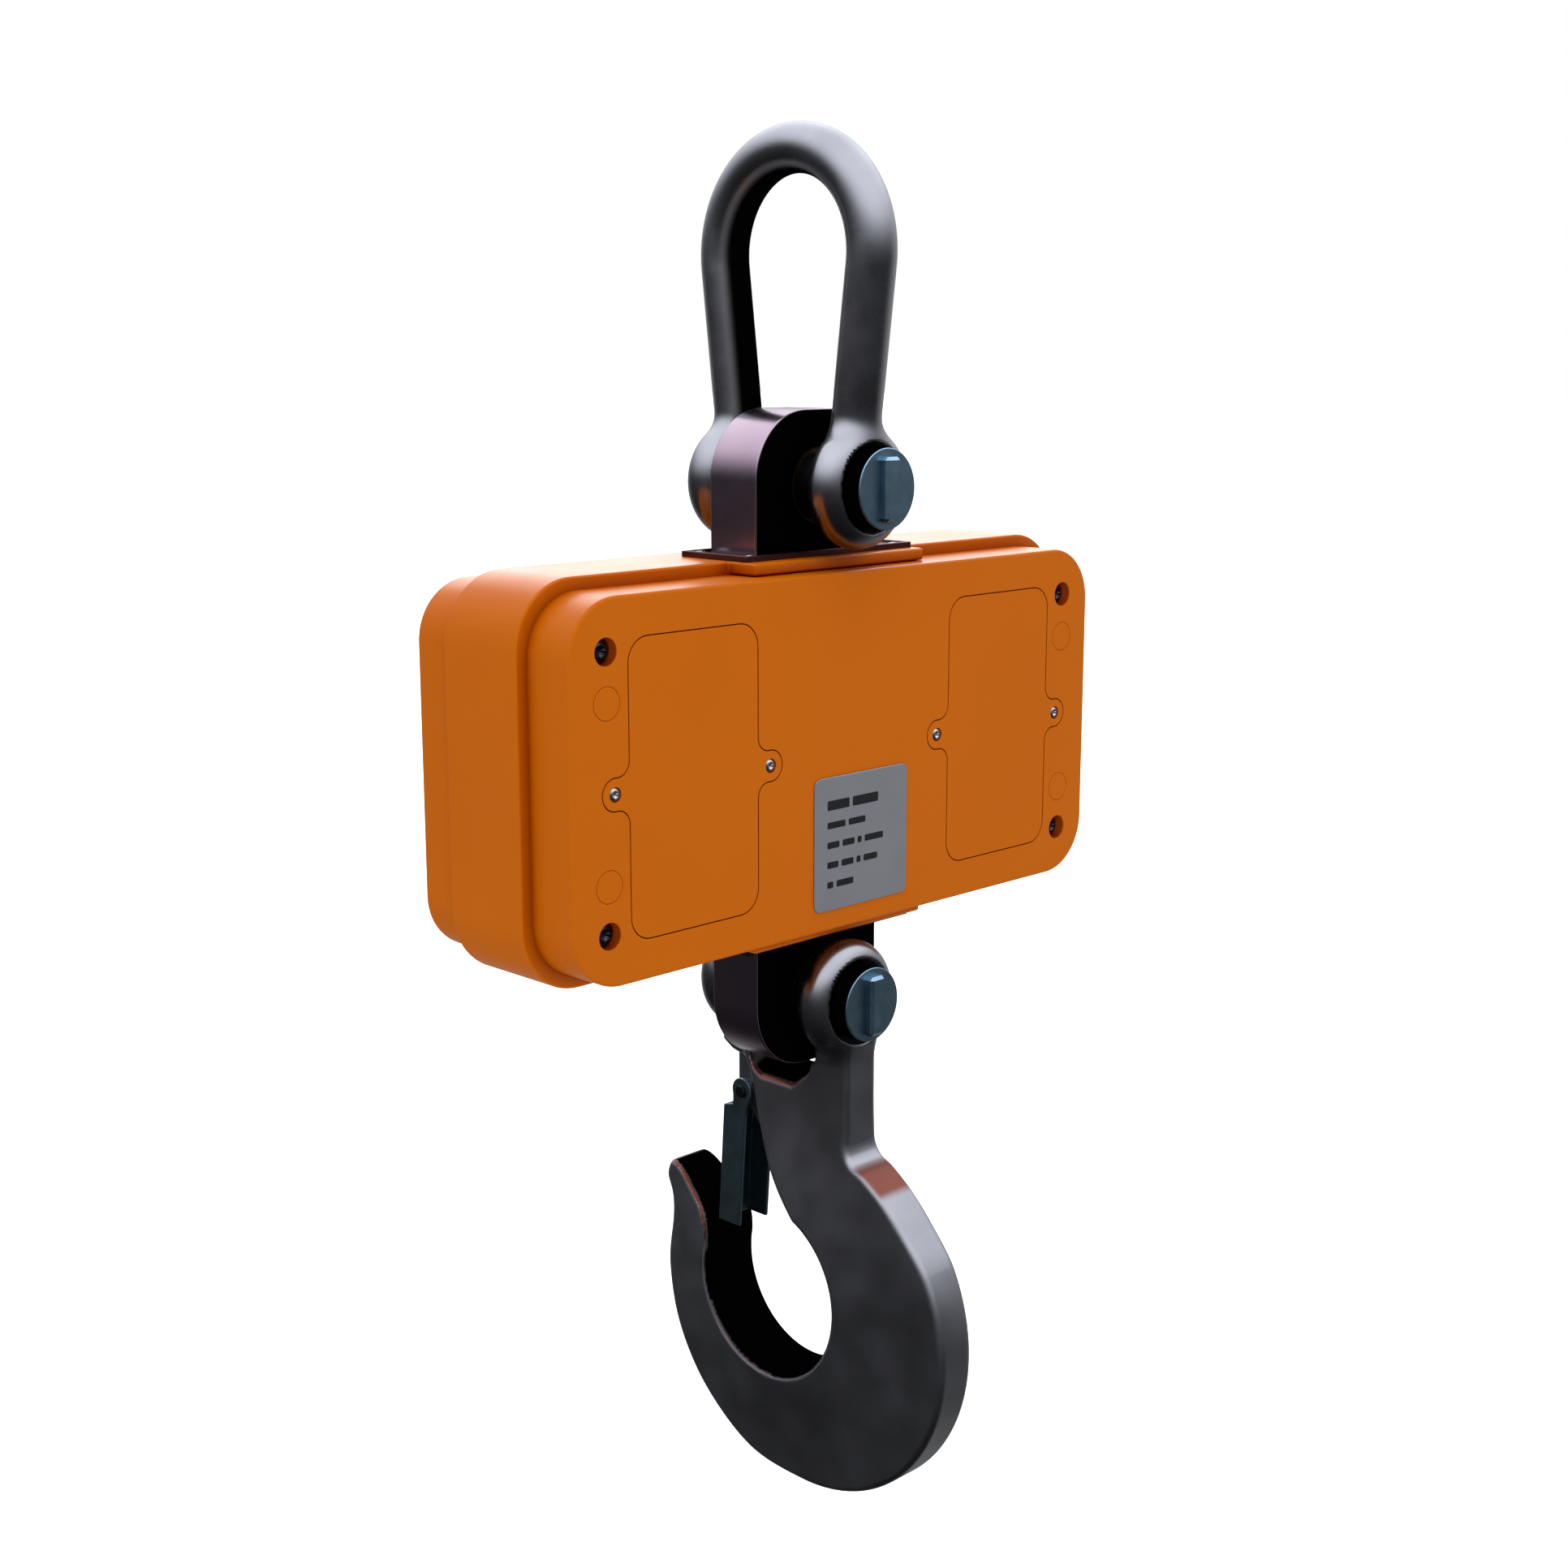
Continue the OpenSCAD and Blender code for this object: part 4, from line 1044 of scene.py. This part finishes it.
def label_print():
    """Plain bars where a rating label has its words, read from +Y and so running towards -X."""
    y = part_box("rating_label")[1].y / MM - 0.005
    parts = []
    for line_z, high, words in LABEL_LINES:
        x, z = LABEL_X + LINE_START, Z_BOX + LABEL_Z + line_z
        for word in words:
            parts.append(raised(lozenge(x - word, x, z - high / 2, z + high / 2, 0.5), y, 0.06, 0.01))
            x -= word + WORD_GAP
    piece("label_bars", *merged(*parts), "label_ink", "scale_body", "label_plate", flat=True)


label_print()

DIGIT_PITCH, WINDOW_Z = 33, 17
DIGIT_W, DIGIT_H = 9, 16  # half sizes, between the bars' middles
DOT_X, DOT_Z, DOT_R = 13, -17, 1.7
BAR_T = 1.7
SEGMENTS = {  # middle and direction of each bar of a seven-segment digit, in half sizes
    "a": (0, 1, True), "g": (0, 0, True), "d": (0, -1, True),
    "f": (-1, 0.5, False), "b": (1, 0.5, False), "e": (-1, -0.5, False), "c": (1, -0.5, False),
}
LIT = "abcdef"


def segment(cx, cz, mid_x, mid_z, lying):
    """One bar's outline. The digits are read from -Y, and lean towards +X at the top."""
    slant = math.tan(math.radians(6))
    end = (DIGIT_W if lying else DIGIT_H / 2) - 0.35
    line = [(-end, 0), (-end + BAR_T, BAR_T), (end - BAR_T, BAR_T), (end, 0), (end - BAR_T, -BAR_T),
            (-end + BAR_T, -BAR_T)]
    if not lying:
        line = [(-z, x) for x, z in line]
    line = [(x + mid_x * DIGIT_W, z + mid_z * DIGIT_H) for x, z in line]
    return [(cx + x + z * slant, cz + z) for x, z in line]


def digits():
    """Seven-segment bars and points: the last two digits lit as zero, the others dark."""
    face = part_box("digit_modules")[0].y / MM + 0.02
    lit, dark = [], []
    for k in range(-2, 3):
        cx, cz = k * DIGIT_PITCH, Z_BOX + WINDOW_Z
        shown = LIT if k >= 1 else ""
        for name, place in SEGMENTS.items():
            bar = raised(segment(cx, cz, *place)[::-1], face, -0.35, 0.03)
            (lit if name in shown else dark).append(bar)
        dot = raised(disc(cx + DOT_X, cz + DOT_Z, DOT_R, 16)[::-1], face, -0.35, 0.08)
        (lit if k == 1 else dark).append(dot)
    piece("segments_lit", *merged(*lit), "lit_segment", "scale_body", "digit_black", flat=True)
    piece("segments_dark", *merged(*dark), "unlit_segment", "scale_body", "digit_black", flat=True)


digits()

KEY_Z = -38
KEY_X = {"power_key": -57, "tare_key": -19, "hold_key": 19, "unit_key": 57}
MARK_PROUD = -0.15  # towards -Y


def ring_mark(cx, cz, r, wide, y, gap=0.0):
    """A raised ring, open at the top by the angle gap to each side."""
    steps = 32
    angles = [gap + (TAU - gap - gap) * i / steps for i in range(steps + 1)]
    line = [(cx + q * math.sin(a), cz + q * math.cos(a))
            for q in (r + wide / 2, r - wide / 2) for a in angles]
    n = len(angles)
    points = [(x, y, z) for x, z in line] + [(x, y + MARK_PROUD, z) for x, z in line]
    faces = []
    for i in range(n - 1):
        a, b, c, d, e = i, i + 1, n + i + 1, n + i, 2 * n
        faces += [(a + e, b + e, c + e, d + e), (a, b, b + e, a + e), (c, d, d + e, c + e), (d, c, b, a)]
    faces += [(0, 2 * n, 3 * n, n), (n - 1, 2 * n - 1, 4 * n - 1, 3 * n - 1)]
    return points, faces


def key_marks():
    """A power ring, a zero bar, two hold bars and a pair of unit arrows, raised on the keys."""
    cz = Z_BOX + KEY_Z
    for key, cx in KEY_X.items():
        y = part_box(key)[0].y / MM + 0.01

        def bar(x, z, half_w, half_h, r):
            outline = lozenge(cx + x - half_w, cx + x + half_w, cz + z - half_h, cz + z + half_h, r)
            return raised(outline[::-1], y, MARK_PROUD)

        if key == "power_key":
            parts = [ring_mark(cx, cz, 3, 0.9, y, 0.6), bar(0, 2.2, 0.45, 1.8, 0.4)]
        elif key == "tare_key":
            parts = [bar(0, 0, 4, 0.6, 0.5), ring_mark(cx, cz, 2.6, 0.8, y)]
        elif key == "hold_key":
            parts = [bar(x, 0, 0.6, 3, 0.5) for x in (-1.8, 1.8)]
        else:
            parts = [raised([(cx + s * 1.2, cz + 2.6), (cx + s * 1.2, cz - 2.6), (cx + s * 4.6, cz)][::-s],
                            y, MARK_PROUD) for s in (-1, 1)]
        piece(key + "_mark", *merged(*parts), "key_mark", key, SLOT_OF[key], flat=True)


key_marks()


# ---------- camera, light and floor ----------
AMBIENT = 0.8
CAMERA_AT = (0.5424, 0.5347, -0.0576)
CAMERA_TURN, CAMERA_TIP = math.radians(134.9), math.radians(11.34)
# Brightness of the mirrored sky by height: dark below and beside, bright softboxes above
SKY = ((-1.0, 0.01), (-0.2, 0.045), (0.05, 0.08), (0.18, 0.32), (0.33, 0.9), (0.5, 1.7), (0.75, 2.2))
SKY_TINT = (0.965, 0.98, 1.05)
FAR_SIDE, FAR_LIGHT = (-0.85, -0.5, 0.0), 0.45
FLOOR_Z, FLOOR_HALF = -0.9, 30

scene = bpy.context.scene


def camera():
    lens = bpy.data.cameras.new("camera")
    lens.lens = 50
    lens.sensor_width = 36
    lens.clip_end = 50
    obj = bpy.data.objects.new("camera", lens)
    obj.location = CAMERA_AT
    back = Vector((math.sin(CAMERA_TURN) * math.cos(CAMERA_TIP),
                   -math.cos(CAMERA_TURN) * math.cos(CAMERA_TIP), math.sin(CAMERA_TIP)))
    obj.rotation_mode = "QUATERNION"
    obj.rotation_quaternion = back.to_track_quat("Z", "Y")
    scene.collection.objects.link(obj)
    scene.camera = obj


def sky():
    """White to the camera, an even grey to matt surfaces, and a studio's ramp to mirrors."""
    world = bpy.data.worlds.new("studio")
    scene.world = world
    world.use_nodes = True
    # Only bounced rays find the sky, so that each sees the sky made for its kind
    world.cycles.sampling_method = "NONE"
    tree = world.node_tree
    place = tree.nodes.new("ShaderNodeTexCoord").outputs["Generated"]

    def node(kind, inputs, **values):
        n = tree.nodes.new(kind)
        for key, value in values.items():
            setattr(n, key, value)
        for key, value in inputs.items():
            if isinstance(value, bpy.types.NodeSocket):
                tree.links.new(value, n.inputs[key])
            else:
                n.inputs[key].default_value = value
        return n

    def mix(factor, a, b, **values):
        return node("ShaderNodeMix", {0: factor, 6: a, 7: b}, data_type="RGBA", **values).outputs[2]

    height = node("ShaderNodeSeparateXYZ", {0: place}).outputs["Z"]
    lift = node("ShaderNodeMapRange", {"Value": height, "From Min": -1, "From Max": 1}).outputs[0]
    ramp = node("ShaderNodeValToRGB", {"Fac": lift})
    ramp.color_ramp.elements[0].position = 0
    ramp.color_ramp.elements[1].position = (SKY[-1][0] + 1) / 2
    for spot, _ in SKY[1:-1]:
        ramp.color_ramp.elements.new((spot + 1) / 2)
    for element, (_, value) in zip(ramp.color_ramp.elements, SKY):
        element.color = (*(value * c for c in SKY_TINT), 1)
    toward = node("ShaderNodeVectorMath", {0: place, 1: FAR_SIDE}, operation="DOT_PRODUCT")
    far = node("ShaderNodeMapRange", {"Value": toward.outputs["Value"], "From Min": 0.1, "From Max": 0.95,
                                      "To Max": FAR_LIGHT}, interpolation_type="SMOOTHSTEP").outputs[0]
    mirror = mix(1.0, ramp.outputs["Color"], far, blend_type="ADD")
    path = tree.nodes.new("ShaderNodeLightPath").outputs
    lit = mix(path["Is Glossy Ray"], (AMBIENT, AMBIENT, AMBIENT, 1), mirror)
    seen = mix(path["Is Camera Ray"], lit, (1, 1, 1, 1))
    tree.links.new(seen, tree.nodes["Background"].inputs["Color"])


def panel(name, place, size, power):
    """An area light that faces the housing and isn't mirrored."""
    light = bpy.data.lights.new(name, "AREA")
    light.shape = "RECTANGLE"
    light.size, light.size_y = size
    light.energy = power
    obj = bpy.data.objects.new(name, light)
    obj.location = place
    obj.rotation_mode = "QUATERNION"
    obj.rotation_quaternion = (Vector(place) - Vector((0, 0, Z_BOX * MM))).to_track_quat("Z", "Y")
    obj.visible_glossy = False
    scene.collection.objects.link(obj)
    return obj


def lights():
    panel("overhead", (0.1, 0.2, 1.4), (1.6, 1.2), 5)
    panel("fill", (1.2, 1.4, 0.35), (1.2, 1.2), 1.5)
    # A bright wall behind, mirrored at a glance in the paint's upper faces and not in the steel
    wall = panel("wall", (-1.7, -1.7, 0.95), (3.0, 1.8), 60)
    wall.visible_diffuse, wall.visible_glossy = False, True
    painted = bpy.data.collections.new("painted")
    for obj in scene.objects:
        if obj.type == "MESH" and obj.data.materials and obj.data.materials[0] == MATERIALS["orange_paint"]:
            painted.objects.link(obj)
    wall.light_linking.receiver_collection = painted


def floor():
    """A white sheet well below, seen only by the camera."""
    mesh = bpy.data.meshes.new("floor")
    corners = [(i * FLOOR_HALF, k * FLOOR_HALF, FLOOR_Z) for i, k in ((-1, -1), (1, -1), (1, 1), (-1, 1))]
    mesh.from_pydata(corners, [], [(0, 1, 2, 3)])
    obj = bpy.data.objects.new("floor", mesh)
    white = Shade("floor_paint", (0.9, 0.9, 0.9, 1), 0.0, 0.9).tint(400, (0.88, 0.88, 0.88, 1), 0.5)
    white.set(Emission_Color=(1, 1, 1, 1), Emission_Strength=1.0)
    mesh.materials.append(white.material)
    scene.collection.objects.link(obj)
    obj.visible_diffuse = obj.visible_glossy = False


scene.view_settings.view_transform = "Standard"
camera()
sky()
lights()
floor()
